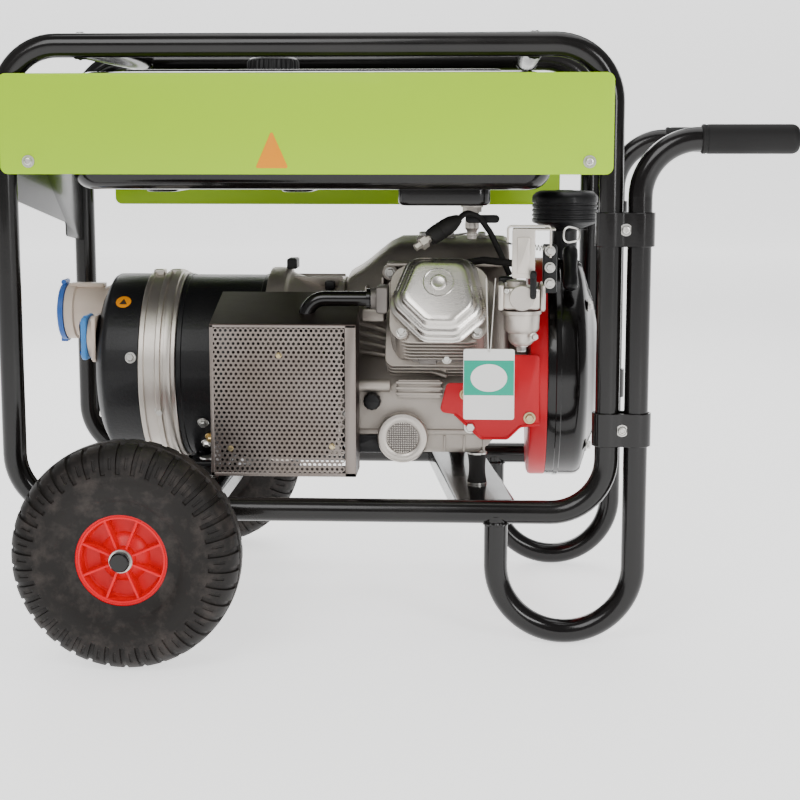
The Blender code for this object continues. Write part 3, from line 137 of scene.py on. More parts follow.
def round_run(corners, radius, steps=10, closed=False):
    """The corner points with each inner corner replaced by an arc tangent to both of its sides."""
    corners = np.array(corners, float)
    count = len(corners)
    radii = np.broadcast_to(radius, count)
    run = []
    for i in range(count):
        if (not closed and i in (0, count - 1)) or radii[i] <= 0:
            run.append(corners[i : i + 1])
            continue
        back = corners[i - 1] - corners[i]
        ahead = corners[(i + 1) % count] - corners[i]
        back, ahead = back / np.linalg.norm(back), ahead / np.linalg.norm(ahead)
        half = np.arccos(np.clip(back @ ahead, -1, 1)) / 2
        if abs(half - pi / 2) < 1e-4:
            run.append(corners[i : i + 1])
            continue
        middle = corners[i] + (back + ahead) / np.linalg.norm(back + ahead) * radii[i] / sin(half)
        one = corners[i] + back * radii[i] / tan(half) - middle
        two = corners[i] + ahead * radii[i] / tan(half) - middle
        sweep = pi - 2 * half
        t = np.linspace(0, 1, steps + 1)[:, None]
        run.append(middle + (one * np.sin((1 - t) * sweep) + two * np.sin(t * sweep)) / sin(sweep))
    return np.concatenate(run)


def box_outline(half_a, half_b, radius, steps=6, middle=(0, 0)):
    """A rectangle with round corners, anticlockwise."""
    a, b = middle
    corners = [(a + half_a, b + half_b), (a - half_a, b + half_b), (a - half_a, b - half_b),
               (a + half_a, b - half_b)]
    return round_run(corners, radius, steps, closed=True)


def inset(outline, distance):
    """A closed anticlockwise outline moved inwards: each point goes along its mitre direction."""
    before = outline - np.roll(outline, 1, 0)
    after = np.roll(outline, -1, 0) - outline
    before /= np.linalg.norm(before, axis=1, keepdims=True) + 1e-12
    after /= np.linalg.norm(after, axis=1, keepdims=True) + 1e-12
    way = before + after
    way /= np.linalg.norm(way, axis=1, keepdims=True) + 1e-12
    inward = np.stack([-way[:, 1], way[:, 0]], -1)
    square = np.stack([-before[:, 1], before[:, 0]], -1)
    share = np.clip(np.sum(inward * square, 1, keepdims=True), 0.3, 1)
    return outline + inward * distance / share


# %% [markdown]
# The three ways in which nearly everything here is made: a circle carried along a path, a profile
# turned round an axis, and an outline that is pushed through a thickness with its edges eased.

# %% Tubes, turned shapes and plates
def tube(path, radius, sides=28, closed=False, across=TO_BACK):
    """A circle carried along the path: each ring spans the across direction and the one square to it."""
    path = np.array(path, float)
    radii = np.broadcast_to(np.array(radius, float), len(path))
    way = np.roll(path, -1, 0) - np.roll(path, 1, 0)
    if not closed:
        way[0], way[-1] = path[1] - path[0], path[-1] - path[-2]
    way = way / np.linalg.norm(way, axis=1, keepdims=True)
    side = np.array(across, float) - way * (way @ np.array(across, float))[:, None]
    side /= np.linalg.norm(side, axis=1, keepdims=True)
    other = np.cross(way, side)
    angle = np.linspace(0, 2 * pi, sides, endpoint=False)[None, :, None]
    ring = np.cos(angle) * side[:, None] + np.sin(angle) * other[:, None]
    return grid_shape(path[:, None] + radii[:, None, None] * ring, wrap_rows=closed)


def turned(profile, centre=(0, 0, 0), axis=UP, steps=48, closed=False, scallop=0.0, waves=0):
    """A profile of (height, radius) turned round the axis; scallop adds waves to the radius."""
    profile = np.array(profile, float)
    angle = np.linspace(0, 2 * pi, steps, endpoint=False)
    height = np.repeat(profile[:, :1], steps, 1)
    radius = profile[:, 1:] * (1 + scallop * np.cos(waves * angle))
    grid = np.stack([radius * np.cos(angle), radius * np.sin(angle), height], -1)
    return placed(grid_shape(grid, wrap_rows=closed), facing(axis), centre)


def ring_of(shape, count, axis, centre, start=0.0):
    """Copies of a shape made beside the Z axis: spread evenly round it, then turned to the axis."""
    turns = 2 * pi * (np.arange(count) + start) / count
    spins = [[[cos(t), -sin(t), 0], [sin(t), cos(t), 0], [0, 0, 1]] for t in turns]
    return [placed(placed(shape, spin), facing(axis), centre) for spin in spins]


AXES = {
    "X": [[0, 0, 1], [1, 0, 0], [0, 1, 0]],
    "Y": [[1, 0, 0], [0, 0, 1], [0, 1, 0]],
    "Z": [[1, 0, 0], [0, 1, 0], [0, 0, 1]],
}


def plate(outline, axis, start, end, ease=0.0, steps=2):
    """An outline pushed from start to end along an axis, its two rims eased in a quarter round."""
    turn = np.linspace(0, pi / 2, steps + 1) if ease > 0 else np.array([pi / 2])
    inward = ease * (1 - np.sin(turn))
    rise = ease * (1 - np.cos(turn))
    levels = np.concatenate([start + rise, end - rise[::-1]])
    insets = np.concatenate([inward, inward[::-1]])
    outline = np.array(outline, float)
    area = np.sum(outline[:, 0] * np.roll(outline[:, 1], -1) - outline[:, 1] * np.roll(outline[:, 0], -1))
    outline = outline if area > 0 else outline[::-1]
    rows = [np.column_stack([inset(outline, d), np.full(len(outline), t)]) for d, t in zip(insets, levels)]
    points, faces = grid_shape(np.stack(rows))
    return points @ np.array(AXES[axis], float).T, faces


def block(low, high, ease=0.001, axis="Z"):
    """A box between two corners, eased on all the edges round one axis and on its two rims."""
    low, high = np.minimum(low, high), np.maximum(low, high)
    a, b, t = {"X": (1, 2, 0), "Y": (0, 2, 1), "Z": (0, 1, 2)}[axis]
    middle = ((low[a] + high[a]) / 2, (low[b] + high[b]) / 2)
    outline = box_outline((high[a] - low[a]) / 2, (high[b] - low[b]) / 2, ease * 1.01, 3, middle)
    return plate(outline, axis, low[t], high[t], ease)


def hex_bolt(centre, axis, across=0.01, height=0.0055, washer=0.0085, washer_t=0.0015):
    """A washer and a chamfered hexagon head that stand on a face."""
    corner = across / sqrt(3)
    head = [(washer_t, corner), (washer_t + height * 0.82, corner), (washer_t + height, corner * 0.86),
            (washer_t + height, 0)]
    ring = [(0, washer), (washer_t * 0.7, washer), (washer_t, washer * 0.95), (washer_t, 0)]
    return joined(turned(head, centre, axis, 6), turned(ring, centre, axis, 24))


def dome_screw(centre, axis, radius=0.0045, height=0.0028):
    """A pan-head screw with a round socket in it."""
    profile = [(0, radius), (height * 0.5, radius), (height * 0.9, radius * 0.8), (height, radius * 0.55),
               (height * 0.6, radius * 0.42), (height * 0.6, 0)]
    return turned(profile, centre, axis, 20)


# %% [markdown]
# A finished piece gets its doubles merged, which closes the poles, then its faces turned outwards,
# and smooth shading that stops at sharp edges.  It rides on a body, takes the finish it is given,
# and hides the plain solids that it stands for.

# %% Put a shape into the scene
def add_piece(name, shapes, material, replaces=(), sharp=35.0, body="generator"):
    """One mesh object from one or more shapes; most ride on the frame's own body."""
    points, faces = joined(*shapes) if isinstance(shapes, list) else shapes
    loops = np.concatenate([part.ravel() for part in faces])
    totals = np.concatenate([np.full(len(part), part.shape[1]) for part in faces])
    mesh = bpy.data.meshes.new(name)
    mesh.vertices.add(len(points))
    mesh.vertices.foreach_set("co", np.ascontiguousarray(points, np.float32).ravel())
    mesh.loops.add(len(loops))
    mesh.loops.foreach_set("vertex_index", loops.astype(np.int32))
    mesh.polygons.add(len(totals))
    mesh.polygons.foreach_set("loop_start", np.concatenate([[0], np.cumsum(totals)[:-1]]).astype(np.int32))
    mesh.update(calc_edges=True)
    mesh.validate()
    work = bmesh.new()
    work.from_mesh(mesh)
    bmesh.ops.remove_doubles(work, verts=work.verts, dist=2e-6)
    bmesh.ops.dissolve_degenerate(work, dist=1e-7, edges=work.edges)
    bmesh.ops.recalc_face_normals(work, faces=work.faces)
    work.to_mesh(mesh)
    work.free()
    mesh.shade_smooth()
    mesh.set_sharp_from_angle(angle=radians(sharp))
    mesh.materials.append(material)
    piece = bpy.data.objects.new(name, mesh)
    bpy.context.scene.collection.objects.link(piece)
    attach(piece, body)
    if replaces:
        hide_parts(*replaces)
    print(f"{name}: {len(mesh.vertices)} points")
    return piece


# %% [markdown]
# Shader maths reads better as arithmetic.  `Value` wraps one output socket, and adding or
# multiplying it builds the Math node behind the scenes.  `Finish` makes the material and any other
# kind of node.

# %% Shader arithmetic
class Value:
    """A number that varies over a surface."""

    def __init__(self, finish, socket):
        self.finish = finish
        self.socket = socket

    def math(self, operation, *others):
        settings = {"operation": operation}
        return self.finish.node("ShaderNodeMath", settings, {i: v for i, v in enumerate(others)})["Value"]

    def __add__(self, other):
        return self.math("ADD", self, other)

    def __radd__(self, other):
        return self.math("ADD", other, self)

    def __sub__(self, other):
        return self.math("SUBTRACT", self, other)

    def __rsub__(self, other):
        return self.math("SUBTRACT", other, self)

    def __mul__(self, other):
        return self.math("MULTIPLY", self, other)

    def __rmul__(self, other):
        return self.math("MULTIPLY", other, self)

    def between(self, low, high):
        """0 below low, 1 above high, and an even slope in between."""
        settings = {"clamp": True}
        return self.finish.node("ShaderNodeMapRange", settings,
                                {"Value": self, "From Min": low, "From Max": high})["Result"]


class Finish:
    """A material with its Principled shader, and one way to add any node to it."""

    def __init__(self, name, colour, roughness, metallic=0.0, **constants):
        self.material = bpy.data.materials.new(name)
        self.material.use_nodes = True
        self.tree = self.material.node_tree
        self.shader = self.tree.nodes["Principled BSDF"]
        self.place = self.node("ShaderNodeTexCoord", {}, {})["Object"]
        self.set("Base Color", colour)
        self.set("Roughness", roughness)
        self.set("Metallic", metallic)
        for socket, value in constants.items():
            self.set(socket.replace("_", " "), value)

    def node(self, kind, settings, inputs):
        """Adds a node, sets it up, feeds its sockets and returns its outputs by name."""
        node = self.tree.nodes.new(kind)
        for key, value in settings.items():
            if key == "stops":
                for i, (at, colour) in enumerate(value):
                    stop = node.color_ramp.elements[i] if i < 2 else node.color_ramp.elements.new(at)
                    stop.position = at
                    stop.color = (*colour, 1.0)
            else:
                setattr(node, key, value)
        for key, value in inputs.items():
            self.feed(node.inputs[key], value)
        return {out.name: Value(self, out) for out in node.outputs if out.enabled}

    def feed(self, socket, value):
        if isinstance(value, Value):
            self.tree.links.new(value.socket, socket)
        elif isinstance(value, tuple) and socket.type == "RGBA":
            socket.default_value = (*value[:3], 1.0)
        else:
            socket.default_value = value

    def set(self, name, value):
        self.feed(self.shader.inputs[name], value)

    def noise(self, scale, detail=3.0, stretch=None, roughness=0.5):
        """Cloudy noise from 0 to 1; scale is in cycles a metre, and stretch scales each axis."""
        place = self.place
        if stretch is not None:
            place = self.node("ShaderNodeMapping", {}, {"Vector": place, "Scale": stretch})["Vector"]
        inputs = {"Vector": place, "Scale": scale, "Detail": detail, "Roughness": roughness}
        return self.node("ShaderNodeTexNoise", {}, inputs)["Fac"]

    def cells(self, scale):
        """Distance to the nearest of many scattered points."""
        return self.node("ShaderNodeTexVoronoi", {"feature": "F1"},
                         {"Vector": self.place, "Scale": scale})["Distance"]

    def mix(self, share, one, two):
        """Colour one where the share is 0, colour two where it is 1."""
        ins = {0: share, 6: one, 7: two}
        node = self.tree.nodes.new("ShaderNodeMix")
        node.data_type = "RGBA"
        for key, value in ins.items():
            self.feed(node.inputs[key], value)
        return Value(self, node.outputs[2])

    def bump(self, height, distance):
        """A Bump node on the shader's Normal; distance is the real height of the relief."""
        inputs = {"Height": height, "Distance": distance, "Strength": 1.0}
        self.set("Normal", self.node("ShaderNodeBump", {}, inputs)["Normal"])


# %% [markdown]
# ## Finishes
# Painted steel is not perfectly flat: powder coat has an orange-peel skin a millimetre or two
# across, and its gloss varies where hands and cloths have touched it.  A thin film of dust lies on
# it in large soft patches.

# %% Paints
def paint(name, colour, roughness, coat=0.5, peel=0.00002, dust=(0.2, 0.18, 0.16), dust_share=0.1):
    """Powder coat: a peel bump, uneven gloss and a little dust in a large soft pattern."""
    finish = Finish(name, colour, roughness, 0.0, Coat_Weight=coat, Coat_Roughness=0.05,
                    Specular_IOR_Level=0.3)
    cloud = finish.noise(9.0, 5.0)
    fine = finish.noise(900.0, 2.0)
    film = cloud.between(0.45, 0.75) * dust_share
    shade = finish.noise(2.4, 2.0).between(0.3, 0.7) * 0.12
    deep = tuple(c * 0.72 for c in colour)
    finish.set("Base Color", finish.mix(film, finish.mix(shade, colour, deep), dust))
    finish.set("Roughness", roughness + cloud.between(0.35, 0.8) * 0.14 + fine * 0.04)
    finish.bump(fine + finish.noise(260.0, 2.0) * 1.5, peel)
    return finish.material


black_paint = paint("black_powder_coat", (0.004, 0.0032, 0.0032), 0.12, coat=0.22, dust_share=0.02)
rail_paint = paint("black_powder_coat_rails", (0.004, 0.0034, 0.0032), 0.14, coat=0.22, dust_share=0.03)
textured_black = paint("textured_black_paint", (0.006, 0.006, 0.007), 0.36, coat=0.06, peel=0.0002,
                       dust_share=0.02)
lime_paint = paint("lime_panel_paint", (0.35, 0.6, 0.0), 0.42, coat=0.04, peel=0.00001,
                   dust=(0.4, 0.58, 0.01), dust_share=0.12)
red_paint = paint("red_shroud_paint", (0.55, 0.0, 0.01), 0.34, coat=0.1, dust=(0.34, 0.0, 0.01),
                  dust_share=0.12)


# %% [markdown]
# Die-cast aluminium shows a fine grain from the mould, soft grey clouds, and darker stains where
# oil mist has dried.  Pressed and machined metal is brighter and has faint drawn lines instead.

# %% Metals
def casting(name, colour, roughness=0.42, grain=0.00012, stain=0.42):
    """Cast metal: a sandy grain in two sizes, blotchy brightness and brown-grey stains."""
    finish = Finish(name, colour, roughness, 0.85)
    cloud = finish.noise(14.0, 5.0)
    sand = finish.noise(1400.0, 3.0, roughness=0.7)
    coarse = finish.cells(420.0)
    dark = tuple(c * f for c, f in zip(colour, (0.5, 0.46, 0.42)))
    bright = tuple(min(1.0, c * 1.25) for c in colour)
    base = finish.mix(finish.noise(5.0, 3.0).between(0.3, 0.75), colour, bright)
    speck = sand.between(0.55, 0.8) * 0.25
    finish.set("Base Color", finish.mix(cloud.between(0.5, 0.8) * stain + speck, base, dark))
    finish.set("Roughness", roughness + cloud.between(0.3, 0.8) * 0.18)
    finish.set("Metallic", 0.9 - cloud.between(0.4, 0.8) * 0.25)
    finish.bump(sand + coarse * 0.7, grain)
    return finish.material


def worked_metal(name, colour, roughness, draw=(1, 1, 30), lines=0.00002, stain=0.12):
    """Pressed, plated or machined metal: fine drawn lines and a soft stain."""
    finish = Finish(name, colour, roughness, 1.0)
    streak = finish.noise(60.0, 3.0, stretch=draw)
    cloud = finish.noise(11.0, 4.0)
    dark = tuple(c * f for c, f in zip(colour, (0.62, 0.55, 0.46)))
    finish.set("Base Color", finish.mix(cloud.between(0.45, 0.8) * stain + streak * 0.06, colour, dark))
    finish.set("Roughness", roughness + streak * 0.08 + cloud.between(0.4, 0.8) * 0.1)
    finish.bump(streak + finish.noise(700.0, 2.0) * 0.4, lines)
    return finish.material


cast_alloy = casting("cast_aluminium", (0.37, 0.335, 0.3))
fine_alloy = casting("fine_cast_aluminium", (0.54, 0.5, 0.455), 0.34, grain=0.00006, stain=0.18)
dark_alloy = casting("dark_cast_plate", (0.17, 0.155, 0.145), 0.46, grain=0.00008)
pressed_steel = worked_metal("bright_pressed_steel", (0.72, 0.69, 0.65), 0.2, stain=0.3)
guard_steel = worked_metal("guard_sheet_steel", (0.27, 0.235, 0.215), 0.36, stain=0.5)
scorched = worked_metal("heat_darkened_sheet", (0.075, 0.055, 0.05), 0.4, stain=0.6)
zinc = worked_metal("zinc_plated_steel", (0.66, 0.65, 0.62), 0.26)
yellow_zinc = worked_metal("passivated_zinc", (0.6, 0.5, 0.3), 0.28, stain=0.35)
brass = worked_metal("brass_terminal", (0.68, 0.5, 0.22), 0.28)
copper = worked_metal("copper_windings", (0.5, 0.22, 0.1), 0.36, draw=(20, 1, 1))


# %% [markdown]
# Moulded parts differ mainly in gloss and in the grain of the mould.  Tyre rubber is brown-black
# and matt, with paler scuffed patches; grips are a finer, softer black.

# %% Plastics and rubbers
def moulded(name, colour, roughness, grain=0.00002, grain_scale=900.0, mottle=0.12, pale=None,
            pale_share=0.0):
    """Plastic or rubber: mould grain, faint mottle, and pale scuffs where a pale colour is given."""
    finish = Finish(name, colour, roughness, 0.0, Specular_IOR_Level=0.28)
    cloud = finish.noise(16.0, 5.0)
    fine = finish.noise(grain_scale, 2.0)
    deep = tuple(c * 0.62 for c in colour)
    base = finish.mix(cloud.between(0.35, 0.75) * mottle, colour, deep)
    if pale is not None:
        scuff = finish.noise(38.0, 6.0, roughness=0.65).between(0.48, 0.72) * pale_share
        base = finish.mix(scuff, base, pale)
    finish.set("Base Color", base)
    finish.set("Roughness", roughness + cloud.between(0.3, 0.8) * 0.1 + fine * 0.05)
    finish.bump(fine, grain)
    return finish.material


tyre_rubber = moulded("tyre_rubber", (0.009, 0.007, 0.006), 0.5, 0.0001, 500.0, 0.4, (0.085, 0.068, 0.06),
                      0.42)
grip_rubber = moulded("grip_rubber", (0.006, 0.0055, 0.0055), 0.55, 0.00008, 700.0)
black_rubber = moulded("mount_rubber", (0.008, 0.007, 0.0065), 0.62, 0.00006, 500.0)
dark_plastic = moulded("black_plastic", (0.006, 0.006, 0.0065), 0.36, 0.00006, 800.0)
red_plastic = moulded("red_hub_plastic", (0.78, 0.0, 0.012), 0.3, 0.00002, 700.0, 0.25)
cream_plastic = moulded("cream_outlet_plastic", (0.68, 0.56, 0.46), 0.34)
blue_plastic = moulded("blue_lid_plastic", (0.03, 0.12, 0.42), 0.28)
sky_plastic = moulded("sky_lid_plastic", (0.06, 0.27, 0.68), 0.28)
white_card = moulded("white_card", (0.8, 0.79, 0.77), 0.45, 0.00001, 1200.0, 0.04)
teal_print = moulded("teal_print", (0.005, 0.36, 0.24), 0.4, 0.00001, 1200.0, 0.06)
sticker_amber = moulded("amber_sticker", (0.8, 0.27, 0.0), 0.35, 0.00001, 1200.0, 0.1)
sticker_ink = moulded("dark_print", (0.03, 0.025, 0.02), 0.45, 0.00001, 1200.0, 0.05)
string_white = moulded("white_string", (0.72, 0.7, 0.66), 0.7, 0.0001, 1500.0, 0.1)
print("materials:", len(bpy.data.materials))


# %% [markdown]
# ## Camera, floor and light
# The view is a long lens a little above the engine, turned three degrees towards the alternator.
# Four soft boxes light it: a broad one from the front and above, a narrow one for the highlights
# that run down the tubes, one overhead and one behind.  The floor glows a little in a pale room.

# %% Camera
camera_data = bpy.data.cameras.new("camera")
camera_data.lens = 74.65
camera_data.sensor_width = 36.0
camera_data.shift_y = -0.0094
camera_data.clip_end = 100.0
camera = bpy.data.objects.new("camera", camera_data)
camera.location = (0.1083, -2.1109, 0.5897)
camera.rotation_euler = (radians(81.427), 0.0, radians(2.913))
bpy.context.scene.collection.objects.link(camera)
bpy.context.scene.camera = camera


# %% Floor with a curved back, and the lights
def studio_floor():
    """A floor that sweeps up into a wall: straight, a quarter circle, and straight again."""
    reach, bend, height = 9.0, 2.0, 6.0
    angle = np.linspace(0, pi / 2, 17)
    y = np.concatenate([[-reach], reach - bend + bend * np.sin(angle), [reach]])
    z = np.concatenate([[0], bend - bend * np.cos(angle), [height]])
    x = np.linspace(-reach * 1.4, reach * 1.4, 9)
    grid = np.stack([np.repeat(x[None], len(y), 0), np.repeat(y[:, None], 9, 1),
                     np.repeat(z[:, None], 9, 1)], -1)
    points, faces = grid_shape(grid, wrap_columns=False, caps=(False, False))
    mesh = bpy.data.meshes.new("studio_floor")
    mesh.from_pydata(points.tolist(), [], faces[0][:, ::-1].tolist())
    mesh.shade_smooth()
    finish = Finish("studio_floor", (0.86, 0.86, 0.86), 0.7)
    finish.set("Roughness", 0.62 + finish.noise(3.0) * 0.1)
    shader = finish.material.node_tree.nodes["Principled BSDF"]
    shader.inputs["Emission Color"].default_value = (1.0, 1.0, 1.0, 1.0)
    shader.inputs["Emission Strength"].default_value = 1.25
    mesh.materials.append(finish.material)
    floor = bpy.data.objects.new("studio_floor", mesh)
    bpy.context.scene.collection.objects.link(floor)


def soft_light(name, place, target, size, power, height=None):
    """A rectangular soft box that faces its target."""
    data = bpy.data.lights.new(name, "AREA")
    data.shape = "RECTANGLE"
    data.size = size
    data.size_y = height or size
    data.energy = power
    light = bpy.data.objects.new(name, data)
    light.location = place
    light.rotation_euler = (Vector(target) - Vector(place)).to_track_quat("-Z", "Y").to_euler()
    bpy.context.scene.collection.objects.link(light)


studio_floor()
soft_light("key_light", (-0.9, -2.6, 2.3), (0, 0, 0.35), 1.6, 44)
soft_light("tube_light", (1.5, -2.2, 1.2), (0, 0, 0.35), 0.5, 26, 1.6)
soft_light("top_light", (0.2, 0.4, 2.6), (0, 0, 0.3), 2.0, 26)
soft_light("back_light", (-0.6, 2.6, 1.8), (0, 0, 0.35), 1.6, 26)
world = bpy.data.worlds.new("studio")
world.use_nodes = True
world.node_tree.nodes["Background"].inputs["Color"].default_value = (1.0, 1.0, 1.0, 1.0)
world.node_tree.nodes["Background"].inputs["Strength"].default_value = 0.3
bpy.context.scene.world = world


# %% [markdown]
# ## Tube frame
# Two bent hoops stand side by side, tied at the top by two straight tubes and at the bottom by two
# folded channels.  Each tube is one circle carried along its bender's path, and a small irregular
# bead marks every weld.

# %% Hoops and their cross tubes
def weld_bead(centre, axis, radius, bead=0.0024):
    """A lumpy ring: a small circle carried round a joint, its size rippling as the puddles overlap."""
    steps, sides = 60, 8
    turn = np.linspace(0, 2 * pi, steps, endpoint=False)[:, None]
    small = np.linspace(0, 2 * pi, sides, endpoint=False)[None]
    size = bead * (1 + 0.22 * np.sin(turn * 17) + 0.12 * np.sin(turn * 5 + 1))
    reach = radius + size * np.cos(small)
    grid = np.stack([reach * np.cos(turn), reach * np.sin(turn), size * np.sin(small) + 0 * turn], -1)
    return placed(grid_shape(grid, wrap_rows=True), facing(axis), centre)


def hoop_path(y):
    """The centre line of a hoop: a rectangle with bent corners."""
    corners = [(FRAME_X - POST_X, y, RAIL_Z), (FRAME_X + POST_X, y, RAIL_Z),
               (FRAME_X + POST_X, y, TOP_Z), (FRAME_X - POST_X, y, TOP_Z)]
    return round_run(corners, HOOP_BEND_R, 14, closed=True)


for side, sign in (("front", -1), ("back", 1)):
    add_piece(f"hoop_{side}", tube(hoop_path(sign * HOOP_Y), TUBE_R, 32, closed=True), rail_paint,
              [f"frame_hoop_{side}"])

for side in ("left", "right"):
    spot = Spot(f"top_cross_tube_{side}")
    x = spot.mid[0]
    ends = [(x, -HOOP_Y + TUBE_R * 0.5, TOP_Z), (x, HOOP_Y - TUBE_R * 0.5, TOP_Z)]
    beads = [weld_bead((x, s * (HOOP_Y - TUBE_R * 0.93), TOP_Z), TO_BACK, TUBE_R * 0.98) for s in (-1, 1)]
    add_piece(f"cross_tube_{side}", [tube(ends, TUBE_R, 32, across=TO_RIGHT), *beads], rail_paint,
              [f"top_cross_tube_{side}"])


# %% [markdown]
# The crossmembers are 4 mm steel folded into a channel that opens downwards, with rounded folds.
# The one under the engine stands slightly askew.

# %% Channels and rubber mounts
def channel(node, skew=0.0, wall=0.004, fold=0.006):
    """A folded channel profile carried from hoop to hoop; the skew slides it along X as y grows."""
    spot = Spot(node)
    half = spot.size[0] / 2 - abs(skew)
    low, high = spot.low[2], spot.high[2]
    outer = round_run([(-half, low), (-half, high), (half, high), (half, low)], [0, fold, fold, 0], 5)
    inner = round_run([(half - wall, low), (half - wall, high - wall), (-half + wall, high - wall),
                       (-half + wall, low)], [0, fold - wall, fold - wall, 0], 5)
    section = np.concatenate([outer, inner])
    y = np.array([-HOOP_Y + TUBE_R * 0.3, HOOP_Y - TUBE_R * 0.3])
    x = spot.mid[0] + section[None, :, 0] - skew * (y / spot.high[1])[:, None]
    grid = np.stack([x, np.repeat(y[:, None], len(section), 1), np.repeat(section[None, :, 1], 2, 0)], -1)
    return grid_shape(grid)


def mount_bobbin(node):
    """A rubber bobbin, waisted between two steel washers, with a stud and nut on top."""
    spot = Spot(node)
    low, high, radius = spot.low[2], spot.high[2], spot.size[0] / 2
    span = high - low
    t = np.linspace(0, 1, 15)
    waist = radius * (1 - 0.16 * np.sin(pi * t))
    body = [(0, 0)] + list(zip(low + 0.002 + (span - 0.004) * t - low, waist)) + [(span - 0.002, 0)]
    rubber = turned(body, (spot.mid[0], spot.mid[1], low), steps=32)
    rings = [turned([(z, 0), (z, radius * 1.02), (z + 0.002, radius * 1.02), (z + 0.002, 0)],
                    (spot.mid[0], spot.mid[1], low), steps=32) for z in (0.0, span - 0.002)]
    return rubber, joined(*rings)


add_piece("engine_channel", channel("engine_crossmember", 0.022), rail_paint,
          ["engine_crossmember"])
add_piece("alternator_channel", channel("alternator_crossmember"), rail_paint,
          ["alternator_crossmember"])
washers = []
for node in ("engine_mount_front", "engine_mount_back", "alternator_mount_front", "alternator_mount_back"):
    rubber, rings = mount_bobbin(node)
    washers.append(rings)
    add_piece(f"{node}_bobbin", rubber, black_rubber, [node])
add_piece("mount_washers", washers, zinc)


# %% [markdown]
# ## Panels and tank
# Each side sheet is bolted to the posts.  Its top and bottom edges are folded inwards so that the
# tank's seam flange can rest on the lower lip.

# %% Side panels
SHEET = 0.0015
LIP_HALF_X = 0.304
SWITCH = Spot("engine_switch")


def panel_sheet(outline, outer_y, inner_y, lip_heights):
    """The outline as a thin sheet with folded lips, turned towards the frame."""
    way = 1 if inner_y > outer_y else -1
    sheet = plate(outline, "Y", *sorted((outer_y, outer_y + way * SHEET)), 0.0004)
    lips = []
    for z in lip_heights:
        low = (FRAME_X - LIP_HALF_X, outer_y + way * 0.0004, z)
        high = (FRAME_X + LIP_HALF_X, inner_y, z + SHEET)
        lips.append(block(low, high, 0.0005, "Y"))
    return [sheet, *lips]


front = Spot("side_panel_front")
back = Spot("side_panel_back")
PANEL_TOP = front.high[2]
PANEL_LOW = front.low[2]
HALF_X = front.size[0] / 2
outline = box_outline(HALF_X, front.size[2] / 2, 0.009, 8, (FRAME_X, front.mid[2]))
lip_heights = (PANEL_LOW, PANEL_TOP - SHEET)
add_piece("front_panel", panel_sheet(outline, front.low[1], front.high[1], lip_heights),
          lime_paint, ["side_panel_front"])

LOW_HALF = 0.31
corners = [(-HALF_X, PANEL_TOP), (-HALF_X, PANEL_LOW), (-LOW_HALF, PANEL_LOW), (-LOW_HALF, back.low[2]),
           (LOW_HALF, back.low[2]), (LOW_HALF, PANEL_LOW), (HALF_X, PANEL_LOW), (HALF_X, PANEL_TOP)]
corners = [(FRAME_X + x, z) for x, z in corners]
outline = round_run(corners, [0.009, 0.009, 0.004, 0.009, 0.009, 0.004, 0.009, 0.009], 6, closed=True)
add_piece("back_panel", panel_sheet(outline, back.high[1], back.low[1], lip_heights),
          lime_paint, ["side_panel_back"])

bolts = []
for sign, face in ((-1, front.low[1]), (1, back.high[1])):
    for x in (-0.319, 0.325):
        for z in (0.568,) if sign < 0 else (0.568, 0.65):
            washer = turned([(0, 0), (0, 0.0075), (0.0011, 0.0072), (0.0012, 0)],
                            (FRAME_X + x, face, z), (0, sign, 0), 28)
            head = dome_screw((FRAME_X + x, face + sign * 0.001, z), (0, sign, 0), 0.0052, 0.0032)
            bolts += [washer, head]
add_piece("panel_bolts", bolts, zinc)

triangle = round_run([(FRAME_X - 0.056, 0.5605), (FRAME_X - 0.018, 0.5605), (FRAME_X - 0.037, 0.6035)],
                     0.0018, 5, closed=True)
add_piece("blank_triangle", plate(triangle, "Y", front.low[1] - 0.0003, front.low[1] + 0.0002, 0.0001),
          sticker_amber)


# %% [markdown]
# The rocker switch sits in a shallow bezel in the back sheet.  Its face is a slow S, so that one
# end always stands a little proud.

# %% End plate and switch
end_plate = Spot("end_plate_left")
y = end_plate.high[1]
corners = [(-y, 0.525), (0.085, 0.484), (0.085, 0.466), (y, 0.455), (y, PANEL_TOP), (-y, PANEL_TOP)]
outline = round_run(corners, [0.004, 0.006, 0.006, 0.004, 0.004, 0.004], 5, closed=True)
add_piece("end_sheet", plate(outline, "X", end_plate.low[0], end_plate.high[0], 0.0005), rail_paint,
          ["end_plate_left"])

t = np.linspace(-1, 1, 25)
rise = back.high[1] + 0.0022 + 0.0022 * t**2 + 0.0008 * t
rocker = np.stack([np.concatenate([rise, [back.high[1] - 0.006, back.high[1] - 0.006]]),
                   np.concatenate([SWITCH.mid[2] + t * SWITCH.size[2] / 2 * 0.97,
                                   SWITCH.mid[2] + np.array([0.7, -0.7]) * SWITCH.size[2] / 2])], -1)
add_piece("switch_rocker", plate(rocker, "X", SWITCH.low[0], SWITCH.high[0], 0.0008), red_plastic,
          ["engine_switch"], body="engine_switch")
ring_out = box_outline(SWITCH.size[0] / 2 + 0.0045, SWITCH.size[2] / 2 + 0.0045, 0.004, 6,
                       (SWITCH.mid[0], SWITCH.mid[2]))
ring_in = box_outline(SWITCH.size[0] / 2 + 0.0006, SWITCH.size[2] / 2 + 0.0006, 0.0015, 6,
                      (SWITCH.mid[0], SWITCH.mid[2]))
face = back.high[1]
rows = [(ring_in, face), (ring_in, face + 0.0012), (inset(ring_in, -0.0006), face + 0.0018),
        (inset(ring_out, 0.0008), face + 0.0018), (ring_out, face + 0.001), (ring_out, face)]
grid = np.stack([np.column_stack([o[:, 0], np.full(len(o), h), o[:, 1]]) for o, h in rows])
add_piece("switch_bezel", grid_shape(grid, wrap_rows=True), dark_plastic)


